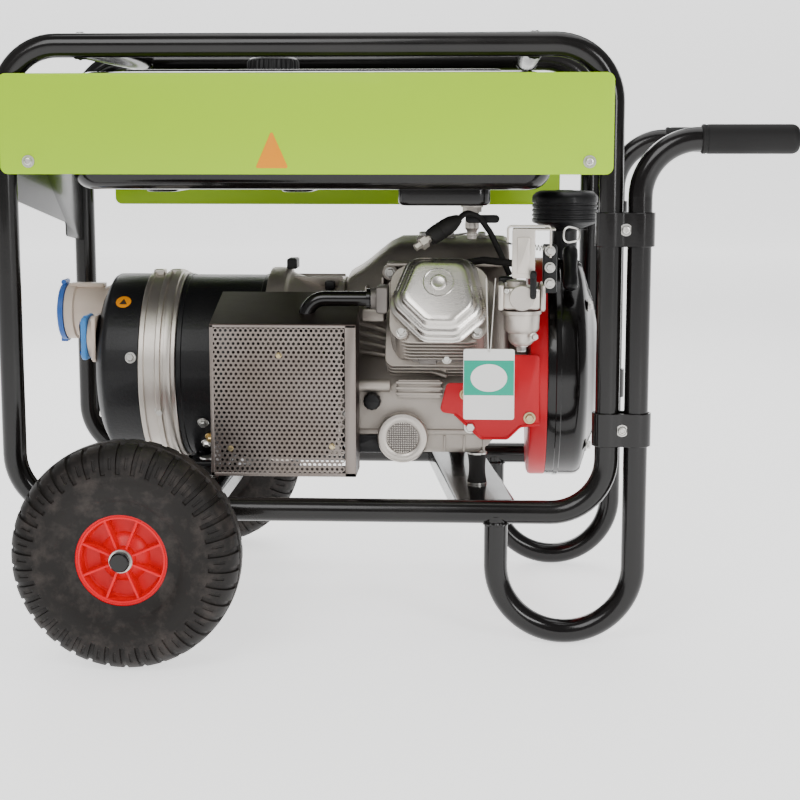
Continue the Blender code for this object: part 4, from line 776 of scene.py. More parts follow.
# %% [markdown]
# The tank is one deep shell with a flat flange.  Stiffening ribs run along its top and across its
# bottom, the sump hangs at the right, and the tap screws into it.

# %% Tank, cap and tap
tank = Spot("fuel_tank")
cap = Spot("fuel_cap")
tap = Spot("fuel_tap_body")
TANK_LOW, TANK_TOP = 0.5346, 0.672
TANK_HALF_X, TANK_HALF_Y = tank.size[0] / 2 - 0.016, tank.size[1] / 2 - 0.016
outline = box_outline(TANK_HALF_X, TANK_HALF_Y, 0.034, 10, (FRAME_X, 0))
shell = plate(outline, "Z", TANK_LOW, TANK_TOP, 0.024, 9)
seat = PANEL_LOW + SHEET + 0.0003
rim = plate(box_outline(tank.size[0] / 2, tank.size[1] / 2, 0.024, 8, (FRAME_X, 0)), "Z", seat,
            seat + 0.003, 0.0008)
sump = plate(box_outline(0.055, 0.05, 0.016, 8, (FRAME_X + 0.158, -0.08)), "Z", tank.low[2],
             TANK_LOW + 0.01, 0.006, 5)
ribs = []
for y in (-0.112, -0.06, 0.06, 0.112):
    outline = box_outline(0.225, 0.011, 0.0105, 8, (FRAME_X, y))
    ribs.append(plate(outline, "Z", TANK_TOP - 0.004, TANK_TOP + 0.0035, 0.0034, 5))
for x in (-0.185, -0.02):
    outline = box_outline(0.02, 0.11, 0.018, 8, (FRAME_X + x, 0))
    ribs.append(plate(outline, "Z", TANK_LOW - 0.004, TANK_LOW + 0.004, 0.0036, 5))
neck = turned([(-0.004, 0.034), (0.0005, 0.031), (0.003, 0.0255), (0.0095, 0.024), (0.01, 0.0225),
               (0.01, 0)], (cap.mid[0], cap.mid[1], TANK_TOP), steps=48)
add_piece("tank_shell", [shell, rim, sump, *ribs, neck], black_paint, ["fuel_tank"])

radius = cap.size[0] / 2
low, high = cap.low[2], cap.high[2]
knurl = turned([(low, radius * 0.93), (low + 0.001, radius * 0.98), (high - 0.006, radius * 0.97),
                (high - 0.003, radius * 0.92)], (cap.mid[0], cap.mid[1], 0), steps=192, scallop=0.02,
               waves=32)
crown = turned([(high - 0.003, radius * 0.93), (high - 0.001, radius * 0.84), (high, radius * 0.74),
                (high - 0.0015, radius * 0.66), (high - 0.0018, radius * 0.3), (high - 0.0008, 0)],
               (cap.mid[0], cap.mid[1], 0), steps=96)
skirt = turned([(low, radius * 0.93), (low + 0.0003, radius * 0.75), (low + 0.01, radius * 0.74),
                (low + 0.01, 0)], (cap.mid[0], cap.mid[1], 0), steps=96)
add_piece("filler_cap", [knurl, crown, skirt], dark_plastic, ["fuel_cap"], body="fuel_cap")

top = tap.high[2]
profile = [(0, 0), (0, 0.0138), (-0.004, 0.0138), (-0.005, 0.0092), (-0.011, 0.0092), (-0.012, 0.008),
           (-0.026, 0.0088), (-0.03, 0.0088), (-0.033, 0.0064), (-0.036, 0.0058), (-0.0365, 0.0066),
           (-0.039, 0.0066), (-0.0395, 0.0058), (-0.043, 0.0058), (-0.044, 0.0048), (-0.044, 0)]
body = turned(profile, (tap.mid[0], tap.mid[1], top), steps=36)
nut = turned([(-0.01, 0), (-0.01, 0.0118), (-0.004, 0.0118), (-0.004, 0)], (tap.mid[0], tap.mid[1], top),
             steps=6)
add_piece("tap_body", [body, nut], fine_alloy, ["fuel_tap_body"])
lever = Spot("fuel_tap_lever")
paddle = plate(box_outline(lever.size[0] / 2, lever.size[2] / 2, lever.size[2] / 2 * 0.98, 10,
                           (lever.mid[0], lever.mid[2])), "Y", lever.low[1], lever.low[1] + 0.004, 0.0012,
               3)
spindle = turned([(0, 0), (0, 0.004), (0.005, 0.004), (0.005, 0)],
                 (tap.mid[0], lever.high[1] - 0.005, lever.mid[2]), TO_BACK, 24)
add_piece("tap_lever", [paddle, spindle], dark_plastic, ["fuel_tap_lever"],
          body="fuel_tap_lever")


# %% [markdown]
# ## Trolley kit: wheels
# A tyre's section is close to a superellipse, wider than a circle at the shoulders.  The tread is
# cut by pushing the surface inwards: one broad groove and one narrow slot to each of 38 lugs,
# and two wandering grooves round the crown.

# %% Tyres
LUGS = 38
TYRE_MID_R = 0.0925
COLUMNS = np.array([0, 0.07, 0.095, 0.2, 0.335, 0.375, 0.43, 0.5, 0.57, 0.625, 0.665, 0.8, 0.905, 0.93])


def ramp(value, low, high):
    """0 up to low, 1 from high on, straight between; low may be the larger of the two."""
    return np.clip((value - low) / (high - low), 0, 1)


def tyre_surface(centre, outward):
    """Superellipse section |a/A|^n + |h/H|^n = 1 carried round the axle, less the tread's depth."""
    tyre_r, half, power = 0.13, 0.0425, 2.5
    bead = radians(52)
    even = np.linspace(-pi / 2 + bead, 3 * pi / 2 - bead, 119)
    theta = even - 0.1 * np.sin(4 * even) * 0.5
    a = half * np.sign(np.cos(theta)) * np.abs(np.cos(theta)) ** (2 / power)
    rise = np.where(np.sin(theta) > 0, tyre_r - TYRE_MID_R, 0.04)
    h = rise * np.sign(np.sin(theta)) * np.abs(np.sin(theta)) ** (2 / power)
    phase = np.tile(COLUMNS, LUGS)[None, :]
    angle = ((np.arange(LUGS)[:, None] + COLUMNS[None]) * 2 * pi / LUGS).reshape(1, -1)
    r, side = (TYRE_MID_R + h)[:, None], a[:, None]
    zone = ramp(r, 0.0985, 0.1005) * ramp(np.abs(side), 0.01, 0.0125)
    groove = ramp(np.abs(phase - 0.5), 0.165, 0.125) * zone
    gap = np.minimum(phase, 1 - phase)
    slot = ramp(gap, 0.098, 0.068) * ramp(r, 0.1045, 0.106) * ramp(r, 0.1175, 0.116)
    wander = 0.0085 + 0.0022 * np.abs(2 * phase - 1)
    circles = ramp(np.abs(np.abs(side) - wander), 0.0022, 0.0012) * ramp(r, 0.12, 0.124)
    line = ramp(np.abs(r - 0.0935), 0.0007, 0.0002) * (h > 0)[:, None]
    depth = 0.0028 * groove + 0.0014 * slot + 0.0022 * circles + 0.0003 * line
    lengths = np.hypot(a, h)[:, None]
    a_cut = side * (1 - depth / lengths)
    r_cut = TYRE_MID_R + h[:, None] * (1 - depth / lengths)
    grid = np.stack([r_cut * np.cos(angle), r_cut * np.sin(angle), a_cut + 0 * angle], -1)
    inner = [(a[0] * 0.97, 0.052), (a[-1] * 0.97, 0.052)]
    edge = np.stack([np.stack([r_in * np.cos(angle[0]), r_in * np.sin(angle[0]), np.full(angle.size, a_in)],
                              -1) for a_in, r_in in inner[::-1]])
    grid = np.concatenate([grid, edge])
    return placed(grid_shape(grid, wrap_rows=True), facing(outward), centre)


# %% [markdown]
# The hub is one moulding.  A deep ring carries the tyre, eight thin ribs join it to the bore, and
# the web between them rises in a low dish round the middle.

# %% Hubs
HUB_RIBS = 8


def hub_shape(centre, outward):
    """A turned ring, web and bore, with eight radial ribs on each face."""
    face, web, rim, inner = 0.033, 0.0135, 0.0572, 0.0468
    half = [(0.0278, 0.0517), (0.029, 0.056), (0.0305, rim), (0.0325, rim), (face, rim - 0.0008),
            (face, 0.0518), (face - 0.0012, 0.0512), (face - 0.0012, 0.05), (face - 0.0002, inner + 0.0022),
            (face - 0.0006, inner + 0.0004), (face - 0.002, inner), (web + 0.002, inner - 0.0006),
            (web, inner - 0.003), (web - 0.001, 0.0285), (web + 0.0005, 0.027), (web + 0.0045, 0.0215),
            (web + 0.0065, 0.0165), (web + 0.0075, 0.0142), (0.0345, 0.0138), (0.0355, 0.013),
            (0.0355, 0.0105)]
    profile = half + [(-a, r) for a, r in half[::-1]]
    ring = turned(profile, centre, outward, 96, closed=True)
    section = np.array([(0.0125, 0.0335), (0.02, 0.0325), (0.0472, 0.0318), (0.0472, web - 0.002),
                        (0.0125, web - 0.002)])
    sides = [plate(section * (1, flip), "Y", -0.0013, 0.0013, 0.0005) for flip in (1, -1)]
    ribs = ring_of(joined(*sides), HUB_RIBS, outward, centre, 0.5)
    return [ring, *ribs]


WHEEL = {side: Spot(f"tyre_{side}").mid for side in ("front", "back")}
for side, sign in (("front", -1), ("back", 1)):
    centre, outward = WHEEL[side], (0, sign, 0)
    add_piece(f"lugged_tyre_{side}", tyre_surface(centre, outward), tyre_rubber,
              [f"tyre_{side}"], sharp=32, body=f"wheel_{side}")
    add_piece(f"ribbed_hub_{side}", hub_shape(centre, outward), red_plastic,
              [f"hub_{side}"], body=f"wheel_{side}")


# %% [markdown]
# The axle is one bar.  Collars keep the wheels off the frame, domed black nuts hold them on, and
# two saddles with U-bolts clamp the bar under the bottom rails.

# %% Axle
axle = Spot("axle")
HUB_END = 0.0383
rod = turned([(-axle.high[1], 0), (-axle.high[1], 0.0095), (axle.high[1] - 0.0005, 0.01),
              (axle.high[1], 0)], (axle.mid[0], 0, WHEEL["front"][2]), TO_BACK, 32)
parts = [rod]
rings = []
for sign in (-1, 1):
    centre = (axle.mid[0], sign * (abs(WHEEL["front"][1]) + HUB_END), WHEEL["front"][2])
    nut = [(0, 0), (0, 0.0112), (0.0055, 0.0112), (0.007, 0.01), (0.0078, 0.006), (0.007, 0.0045),
           (0.0062, 0)]
    parts.append(turned(nut, centre, (0, sign, 0), 36, scallop=0.018, waves=6))
    rings.append(turned([(-0.0026, 0), (-0.0026, 0.0135), (-0.0008, 0.0137), (0.0002, 0.013), (0.0002, 0)],
                        centre, (0, sign, 0), 40))
    collar_y = sign * (abs(WHEEL["front"][1]) - HUB_END)
    parts.append(turned([(0, 0), (0, 0.015), (0.001, 0.016), (0.011, 0.016), (0.012, 0.015), (0.012, 0)],
                        (axle.mid[0], collar_y, WHEEL["front"][2]), (0, -sign, 0), 36))
    y = sign * HOOP_Y
    low = (axle.mid[0] - 0.024, y - 0.0168, axle.low[2])
    high = (axle.mid[0] + 0.024, y + 0.0168, 0.1475)
    parts.append(block(low, high, 0.0025))
    for x in (-0.017, 0.017):
        arch = [(axle.mid[0] + x, y - 0.0185, 0.128), (axle.mid[0] + x, y - 0.0185, RAIL_Z + 0.0172),
                (axle.mid[0] + x, y + 0.0185, RAIL_Z + 0.0172), (axle.mid[0] + x, y + 0.0185, 0.128)]
        rings.append(tube(round_run(arch, 0.0175, 10), 0.0025, 12, across=TO_RIGHT))
add_piece("axle_and_saddles", parts, rail_paint, ["axle"])
add_piece("axle_washers_and_u_bolts", rings, zinc)


# %% [markdown]
# ## Trolley kit: handle bars
# A single tube starts under the rail, runs round the foot, climbs beside the post and bends over
# into the handle.  A rubber sleeve with a rounded end is pushed over it.

# %% Bars and grips
bar = Spot("handle_bar_front")
grip = Spot("grip_front")
BAR_X = Spot("clamp_upper_front").mid[0] * 2 - (FRAME_X + POST_X)
FOOT_LEG_X = bar.low[0] + TUBE_R
BAR_TOP = grip.mid[2]
U_R = (BAR_X - FOOT_LEG_X) / 2
U_X = (BAR_X + FOOT_LEG_X) / 2


def bar_path(y):
    """Down from the rail, half a circle round the foot, up the post and over into the handle."""
    foot_z = TUBE_R + U_R
    angle = np.linspace(pi, 2 * pi, 49)
    foot = np.stack([U_X + U_R * np.cos(angle), np.full(49, y), foot_z + U_R * np.sin(angle)], -1)
    upper = round_run([(BAR_X, y, foot_z), (BAR_X, y, BAR_TOP), (grip.high[0] - 0.0065, y, BAR_TOP)], 0.066,
                      22)
    return np.concatenate([[(FOOT_LEG_X, y, RAIL_Z - 0.004)], foot, upper[1:]])


for side, sign in (("front", -1), ("back", 1)):
    y = sign * HOOP_Y
    points, faces = tube(bar_path(y), TUBE_R, 36)
    points[:, 2] = np.maximum(points[:, 2], 0.0)
    bead = weld_bead((FOOT_LEG_X, y, RAIL_Z - TUBE_R * 0.93), UP, TUBE_R * 0.98)
    add_piece(f"bar_{side}", [(points, faces), bead], black_paint,
              [f"handle_bar_{side}"])
    r = grip.size[1] / 2
    start, end = grip.low[0], grip.high[0]
    t = np.linspace(0, pi / 2, 9)
    nose = list(zip(end - 0.009 + 0.009 * np.sin(t), r - 0.0075 + 0.0075 * np.cos(t)))
    profile = [(start, TUBE_R + 0.0002), (start, r - 0.0008), (start + 0.001, r),
               (start + 0.004, r), (start + 0.0045, r - 0.0005), (start + 0.0065, r - 0.0005),
               (start + 0.007, r)] + nose + [(end, 0)]
    add_piece(f"sleeve_{side}",
              turned([(a - start, b) for a, b in profile], (start, y, BAR_TOP), TO_RIGHT, 40), grip_rubber,
              [f"grip_{side}"])


# %% [markdown]
# Each clamp is a strap pressed round post and bar together.  It dips between the two tubes, where
# one bolt draws it tight.

# %% Clamps
STRAP_GAP = 0.0006
STRAP_T = 0.003
STRAP_DIP = 0.0042


def clamp_outline(y):
    """Half a circle round each tube, joined by a stretch that dips towards the bolt."""
    reach = TUBE_R + STRAP_GAP
    left, right = FRAME_X + POST_X, BAR_X
    turn = np.linspace(-pi / 2, pi / 2, 25)
    across = np.linspace(0, 1, 25)[1:-1]
    low = reach - STRAP_DIP * np.sin(pi * across) ** 2
    right_arc = np.stack([right + reach * np.cos(turn), y + reach * np.sin(turn)], -1)
    left_arc = np.stack([left - reach * np.cos(turn), y - reach * np.sin(turn)], -1)
    top = np.stack([right + (left - right) * across, y + low], -1)
    bottom = np.stack([left + (right - left) * across, y - low], -1)
    return np.concatenate([right_arc, top, left_arc, bottom])


def band(outline, section):
    """A closed section of (outward offset, height) carried round a closed outline in the floor plane."""
    rows = [np.column_stack([inset(outline, -d), np.full(len(outline), z)]) for d, z in section]
    return grid_shape(np.stack(rows), wrap_rows=True)


def clamp_bolt(face, way, is_outer):
    """A washer on the dip of a strap, with a round screw head outside and a hexagon inside."""
    axis = (0, way, 0)
    washer = turned([(0, 0), (0, 0.0072), (0.0012, 0.007), (0.0013, 0)], face, axis, 28)
    head = (face[0], face[1] + way * 0.0012, face[2])
    if is_outer:
        return [washer, dome_screw(head, axis, 0.0052, 0.0036)]
    return [washer, hex_bolt(head, axis, 0.009, 0.0045, 0.0065, 0.0008)]


clamp_bolts = []
for level in ("upper", "lower"):
    for side, sign in (("front", -1), ("back", 1)):
        spot = Spot(f"clamp_{level}_{side}")
        y = sign * HOOP_Y
        low, high, t, ease = spot.low[2], spot.high[2], STRAP_T, 0.0006
        section = [(0, low + ease), (0, high - ease), (ease, high), (t - ease, high), (t, high - ease),
                   (t, low + ease), (t - ease, low), (ease, low)]
        add_piece(f"strap_{level}_{side}", band(clamp_outline(y), section), black_paint,
                  [f"clamp_{level}_{side}"])
        for way in (-1, 1):
            face = (spot.mid[0], y + way * (TUBE_R + STRAP_GAP + t - STRAP_DIP), spot.mid[2])
            clamp_bolts += clamp_bolt(face, way, way == sign)
add_piece("clamp_bolts", clamp_bolts, zinc)


# %% [markdown]
# ## Engine
# The cylinder leans forward, so its head, fins and rocker cover are shaped upright as
# (x, height, along) and then laid over by one rotation.  The case is an outline carried along X.

# %% Places on and round the engine
CYLINDER = np.array([
    [1, 0, 0],
    [0, sin(CYLINDER_TILT), -cos(CYLINDER_TILT)],
    [0, cos(CYLINDER_TILT), sin(CYLINDER_TILT)],
])
CRANK_Y, CRANK_Z = CRANK[1], CRANK[2]
CASE_FRONT_Y = CRANK_Y - 0.135
BARREL_HALF = (0.066, 0.058)
HEAD_ALONG = (0.1403, 0.203)


def at(x, y, z):
    """A point given from the middle of the frame."""
    return np.array([FRAME_X + x, y, z])


def laid(*shapes):
    """Shapes given as (x, height, along) from the crank, laid onto the leaning cylinder."""
    return placed(joined(*shapes), CYLINDER, CRANK)


def smooth(value, low, high):
    """0 below low, 1 above high, and an S-shaped rise in between."""
    t = np.clip((value - low) / (high - low), 0, 1)
    return t * t * (3 - 2 * t)


# %% Crankcase casting
def case_surface():
    """The case's outline at many stations: eased ends, a domed left shoulder and a raised right heel."""
    corners = [(-0.135, -0.091), (-0.135, -0.008), (-0.09, 0.03), (-0.07, 0.11), (-0.03, 0.16),
               (0.05, 0.168), (0.095, 0.13), (0.125, 0.075), (0.125, -0.091)]
    outline = round_run(corners[::-1], [0.008, 0.03, 0.03, 0.03, 0.03, 0.02, 0.012, 0.014, 0.008], 5,
                        closed=True)
    x = np.array([0.03, 0.0304, 0.032, 0.035, 0.04, 0.048, 0.058, 0.07, 0.085, 0.1, 0.13, 0.16,
                  0.19, 0.202, 0.212, 0.222, 0.231, 0.2355, 0.2378, 0.2385])
    shrink = np.array([0.012, 0.009, 0.0055, 0.0025, 0.0008, *[0] * 11, 0.0006, 0.003, 0.007, 0.011])
    rows = np.stack([inset(outline, d) for d in shrink])
    y, z = rows[..., 0], rows[..., 1]
    dome = 0.74 + 0.26 * smooth(x, 0.03, 0.105)[:, None]
    z = np.where(z > 0, z * dome,
                 np.maximum(z, -0.091 + shrink[:, None] + 0.032 * smooth(x, 0.198, 0.236)[:, None]))
    grid = np.stack([FRAME_X + np.repeat(x[:, None], len(outline), 1), CRANK_Y + y, CRANK_Z + z], -1)
    return grid_shape(grid)


def barrel_fins(start, end, count, core, ease=0.01, trim=0.0):
    """A core block and a stack of thin plates round it, trimmed all round where asked."""
    a, b = BARREL_HALF[0] - trim, BARREL_HALF[1] - trim
    pitch = (end - start) / (count - 0.62)
    fins = [plate(box_outline(a, b, ease, 4), "Z", start + pitch * i, start + pitch * i + pitch * 0.38,
                  0.0006, 1) for i in range(count)]
    return [plate(box_outline(a - core, b - core, ease, 4), "Z", start, end, 0.001)] + fins


# Lugs and swept fins on the case's front, bosses above it, and the two long studs of the head.
CASE_LUGS = ((0.04, 0.2225), (0.04, 0.262))
CASE_BOSSES = ((0.09, 0.43, 0.0105), (0.066, 0.4, 0.0085), (0.19, 0.436, 0.009))
SWEPT_FIN_BEND_R = 0.05
SWEPT_FIN_RADII = [0.003] * 14 + [0.0024] * 2
HEAD_BOLTS = ((-0.044, -0.041), (0.046, -0.04))

case_parts = [case_surface()]
case_parts.append(turned([(0, 0.055), (0.0225, 0.053), (0.0232, 0.05), (0.0232, 0.0)],
                         at(0.2385, CRANK_Y, CRANK_Z), TO_RIGHT, 48))
case_parts.append(laid(*barrel_fins(0.084, 0.138, 6, 0.011)))
for i in range(4):
    start_y = -0.058 - 0.002 * i
    corners = [at(0.052, start_y, 0.368 - 0.0115 * i), at(0.09, -0.074, 0.358 - 0.01 * i),
               at(0.128, -0.092, 0.34 - 0.008 * i), at(0.162, -0.106, 0.326 - 0.0062 * i)]
    case_parts.append(tube(round_run(corners, SWEPT_FIN_BEND_R, 6), SWEPT_FIN_RADII, 10))
case_parts.append(block(at(0.033, CRANK_Y - 0.1385, 0.2355), at(0.206, CRANK_Y + 0.1275, 0.2415), 0.0015))
case_parts.append(block(at(0.102, CASE_FRONT_Y - 0.008, 0.281), at(0.155, CASE_FRONT_Y + 0.004, 0.304),
                        0.002, "Y"))
for i in range(3):
    z = 0.2855 + 0.0068 * i
    case_parts.append(block(at(0.1, CASE_FRONT_Y - 0.011, z), at(0.157, CASE_FRONT_Y, z + 0.003), 0.0008))
case_parts.append(turned([(0, 0.0082), (0.036, 0.0082), (0.0375, 0.0072), (0.0375, 0)],
                         at(0.0555, CASE_FRONT_Y - 0.004, 0.296), TO_RIGHT, 28))
for x, z in CASE_LUGS:
    case_parts.append(turned([(0, 0.0085), (0.004, 0.0078), (0.004, 0)], at(x, CASE_FRONT_Y + 0.001, z),
                             TO_FRONT, 24))
case_parts.append(turned([(0, 0.0145), (0.003, 0.014), (0.003, 0)],
                         at(0.071, CASE_FRONT_Y + 0.0028, CRANK_Z - 0.026), TO_FRONT, 36))
for i in range(9):
    x = 0.05 + 0.019 * i
    case_parts.append(block(at(x, CRANK_Y + 0.1, 0.246), at(x + 0.003, CRANK_Y + 0.1305, 0.368), 0.0008))
for i in range(7):
    x = 0.062 + 0.024 * i
    case_parts.append(block(at(x, CASE_FRONT_Y - 0.002, 0.2145), at(x + 0.003, CASE_FRONT_Y + 0.01, 0.234),
                            0.0008))
for i in range(3):
    x = 0.058 + 0.021 * i
    case_parts.append(block(at(x, -0.056, 0.372), at(x + 0.003, 0.0, 0.412 + 0.012 * i), 0.001))
for x, z, radius in CASE_BOSSES:
    case_parts.append(turned([(0, radius), (0.016, radius * 0.95), (0.017, radius * 0.85), (0.017, 0)],
                             at(x, -0.04, z), TO_FRONT, 28))
case_parts.append(block(at(0.086, -0.07, 0.4385), at(0.228, -0.02, 0.4425), 0.0015))
case_parts.append(block(at(0.055, -0.076, 0.3705), at(0.085, -0.04, 0.3865), 0.003))
add_piece("crankcase_casting", case_parts, cast_alloy, ["crankcase"], sharp=38)

# Painted shade: a dark block on the case front, below its lower left corner, stands for the shadow that
# falls under the case there.
corner = [block(at(0.03, CASE_FRONT_Y - 0.004, 0.2125), at(0.083, CASE_FRONT_Y + 0.004, 0.2345), 0.002,
                "Y")]
add_piece("case_corner_shade_block", corner, textured_black)
dark_parts = [block(at(0.119, CASE_FRONT_Y - 0.011, 0.319), at(0.182, CASE_FRONT_Y + 0.004, 0.338), 0.003,
                    "Y"), block(at(0.128, CASE_FRONT_Y - 0.0135, 0.3235),
                                at(0.15, CASE_FRONT_Y - 0.009, 0.3335), 0.0015, "Y")]
add_piece("governor_plate", dark_parts, dark_alloy)

case_bolts = [hex_bolt(at(0.162, CASE_FRONT_Y - 0.011, 0.33), TO_FRONT, 0.008, 0.004, 0.0062, 0.001),
              hex_bolt(at(0.191, CASE_FRONT_Y - 0.0035, 0.2456), TO_FRONT, 0.01, 0.005, 0.0082)]
for x, z in CASE_LUGS:
    case_bolts.append(hex_bolt(at(x, CASE_FRONT_Y - 0.003, z), TO_FRONT, 0.008, 0.0042, 0.006, 0.0008))
for x, z, _ in CASE_BOSSES:
    case_bolts.append(hex_bolt(at(x, -0.0568, z), TO_FRONT, 0.009, 0.005, 0.007, 0.001))
for x in (0.127, 0.162, 0.203):
    case_bolts.append(hex_bolt(at(x, CRANK_Y + 0.02, CRANK_Z + 0.1655), (0, -0.1, 1), 0.009, 0.005, 0.0075))
case_bolts.append(tube(round_run([at(0.135, -0.02, 0.47), at(0.19, -0.028, 0.478), at(0.24, -0.06, 0.466)],
                                 0.03, 8), 0.0013, 10))
add_piece("crankcase_bolts", case_bolts, zinc)


# %% [markdown]
# The head is a stack of fins with the pressed rocker cover on its end.  The cover is one irregular
# six-cornered outline that shrinks step by step as it rises, which gives the flange, the straight
# wall and the raised crown.

# %% Cylinder head and rocker cover
COVER_CORNERS = [(-0.037, 0.055), (-0.061, -0.012), (-0.019, -0.055), (0.025, -0.056), (0.059, -0.024),
                 (0.042, 0.053)]
head_parts = barrel_fins(HEAD_ALONG[0], HEAD_ALONG[1] - 0.01, 6, 0.008, 0.024, 0.007)
flange = inset(round_run(COVER_CORNERS[::-1], 0.018, 6, closed=True), -0.0035)
head_parts.append(plate(flange, "Z", HEAD_ALONG[1] - 0.0075, HEAD_ALONG[1], 0.0012))
for x, height in HEAD_BOLTS:
    head_parts.append(turned([(0, 0.0085), (0.058, 0.008), (0.0585, 0)], (x, height, HEAD_ALONG[0]),
                             steps=24))
add_piece("cylinder_head_fins", [laid(*head_parts)], cast_alloy, ["cylinder_head"])
port = [block(at(0.078, -0.15, 0.388), at(0.092, -0.106, 0.42), 0.003, "X"),
        turned([(0, 0.0135), (0.006, 0.013), (0.006, 0)], at(0.0775, -0.128, 0.404), TO_LEFT, 28)]
add_piece("exhaust_port", port, dark_alloy)


COVER_STEPS = np.array([
    (0, 0), (0, 0.002), (0.001, 0.003), (0.0035, 0.0035), (0.0045, 0.005), (0.005, 0.011),
    (0.0065, 0.0135), (0.0095, 0.0145), (0.012, 0.0155), (0.0135, 0.018), (0.0145, 0.0215),
    (0.0165, 0.0238), (0.0195, 0.0246), (0.024, 0.0249),
])
BOSS = [(0.0225, 0.0195), (0.025, 0.019), (0.0256, 0.0178), (0.0232, 0.0125), (0.0232, 0.011),
        (0.0262, 0.0098), (0.027, 0.0085), (0.0262, 0.006), (0.0262, 0)]


def rocker_cover():
    """The outline scaled about its middle at every step, and raised along the cylinder."""
    outline = round_run(COVER_CORNERS, 0.021, 9, closed=True)
    middle = np.array([0, 0.004])
    scale = 1 - COVER_STEPS[:, 0] / 0.056
    flat = middle + (outline - middle) * scale[:, None, None]
    along = np.repeat(HEAD_ALONG[1] + 0.0003 + COVER_STEPS[:, 1:], len(outline), 1)
    return grid_shape(np.concatenate([flat, along[..., None]], -1))


boss = turned([(HEAD_ALONG[1] + h, r) for h, r in BOSS], (0.0, 0.0115, 0.0), UP, 48)
add_piece("rocker_cover", [laid(rocker_cover(), boss)], pressed_steel, ["valve_cover"],
          sharp=50)
cover_bolts = []
for x, height in HEAD_BOLTS:
    cover_bolts.append(hex_bolt((x, height, HEAD_ALONG[1] - 0.004), UP, 0.008, 0.0048, 0.0062, 0.001))
add_piece("rocker_cover_bolts", [laid(*cover_bolts)], zinc)


# %% [markdown]
# On the right are the red fan housing with its deflector plate, and the black starter cover with
# its ring of air slots, its raised middle and the T grip.

# %% Cooling shroud, starter cover and grip
SHROUD_X = (FRAME_X + 0.262, FRAME_X + 0.285)
crank_at = (0, CRANK_Y, CRANK_Z)
ring = [(SHROUD_X[0], 0.05), (SHROUD_X[0], 0.134), (SHROUD_X[0] + 0.002, 0.1385),
        (SHROUD_X[0] + 0.005, 0.14), (SHROUD_X[1] - 0.001, 0.14), (SHROUD_X[1], 0.1392),
        (SHROUD_X[1], 0.1366), (SHROUD_X[0] + 0.004, 0.136), (SHROUD_X[0] + 0.004, 0.05)]
shroud_parts = [turned(ring, crank_at, TO_RIGHT, 96, closed=True)]
DEFLECTOR_Y = CASE_FRONT_Y - 0.0063
deflector = [(0.162, 0.3), (0.153, 0.264), (0.173, 0.261), (0.204, 0.232), (0.236, 0.232), (0.2515, 0.247),
             (0.275, 0.25), (0.275, 0.335), (0.2235, 0.335), (0.2235, 0.3)]
outline = round_run(np.array(deflector) + (FRAME_X, 0), [0.006] * 8 + [0.004, 0.004], 4, closed=True)
shroud_parts.append(plate(outline, "Y", DEFLECTOR_Y, CASE_FRONT_Y - 0.0033, 0.0012))
rib = round_run(np.array(deflector[1:7]) + (FRAME_X, 0), 0.006, 4)[1:]
shroud_parts.append(tube(np.column_stack([rib[:, 0], np.full(len(rib), CASE_FRONT_Y - 0.006), rib[:, 1]]),
                         0.0017, 8))
shroud_parts.append(block(at(0.263, CASE_FRONT_Y - 0.005, 0.254), at(0.2748, CRANK_Y - 0.112, 0.294),
                          0.001))
add_piece("fan_shroud", shroud_parts, red_paint, ["cooling_shroud"])
shroud_bolts = [hex_bolt(at(0.263, DEFLECTOR_Y, 0.2577), TO_FRONT, 0.009, 0.005, 0.0075),
                hex_bolt(at(0.184, DEFLECTOR_Y, 0.286), TO_FRONT, 0.008, 0.0042, 0.0065)]
add_piece("shroud_bolts", shroud_bolts, yellow_zinc)

dome = [(0.0003, 0.137), (0.0003, 0.1392), (0.002, 0.14), (0.034, 0.14), (0.04, 0.1388), (0.045, 0.135),
        (0.05, 0.12), (0.0545, 0.104), (0.057, 0.098), (0.06, 0.09), (0.0625, 0.08), (0.0635, 0.076),
        (0.0615, 0.072), (0.06, 0.05), (0.0612, 0.044), (0.0635, 0.042), (0.064, 0.038), (0.0625, 0.034),
        (0.0625, 0.0)]
recoil_parts = [turned([(SHROUD_X[1] + h, r) for h, r in dome], crank_at, TO_RIGHT, 120)]
recoil_parts.append(turned([(SHROUD_X[1] + 0.01, 0.1402), (SHROUD_X[1] + 0.011, 0.1412),
                            (SHROUD_X[1] + 0.016, 0.1412), (SHROUD_X[1] + 0.017, 0.1402)], crank_at,
                           TO_RIGHT, 120, closed=True))
add_piece("recoil_cover_dome", recoil_parts, black_paint, ["recoil_cover"])
slot = block((-0.0022, 0.052, 0), (0.0022, 0.069, 0.001), 0.0004)
slots = ring_of(slot, 30, TO_RIGHT, (SHROUD_X[1] + 0.0603, CRANK_Y, CRANK_Z))
add_piece("recoil_air_slots", slots, black_rubber)
cover_screws = []
for i in range(4):
    turn = pi / 4 + pi / 2 * i
    place = (SHROUD_X[1] + 0.0495, CRANK_Y + 0.124 * cos(turn), CRANK_Z + 0.124 * sin(turn))
    cover_screws.append(hex_bolt(place, TO_RIGHT, 0.009, 0.005, 0.008))
add_piece("recoil_cover_bolts", cover_screws, zinc)

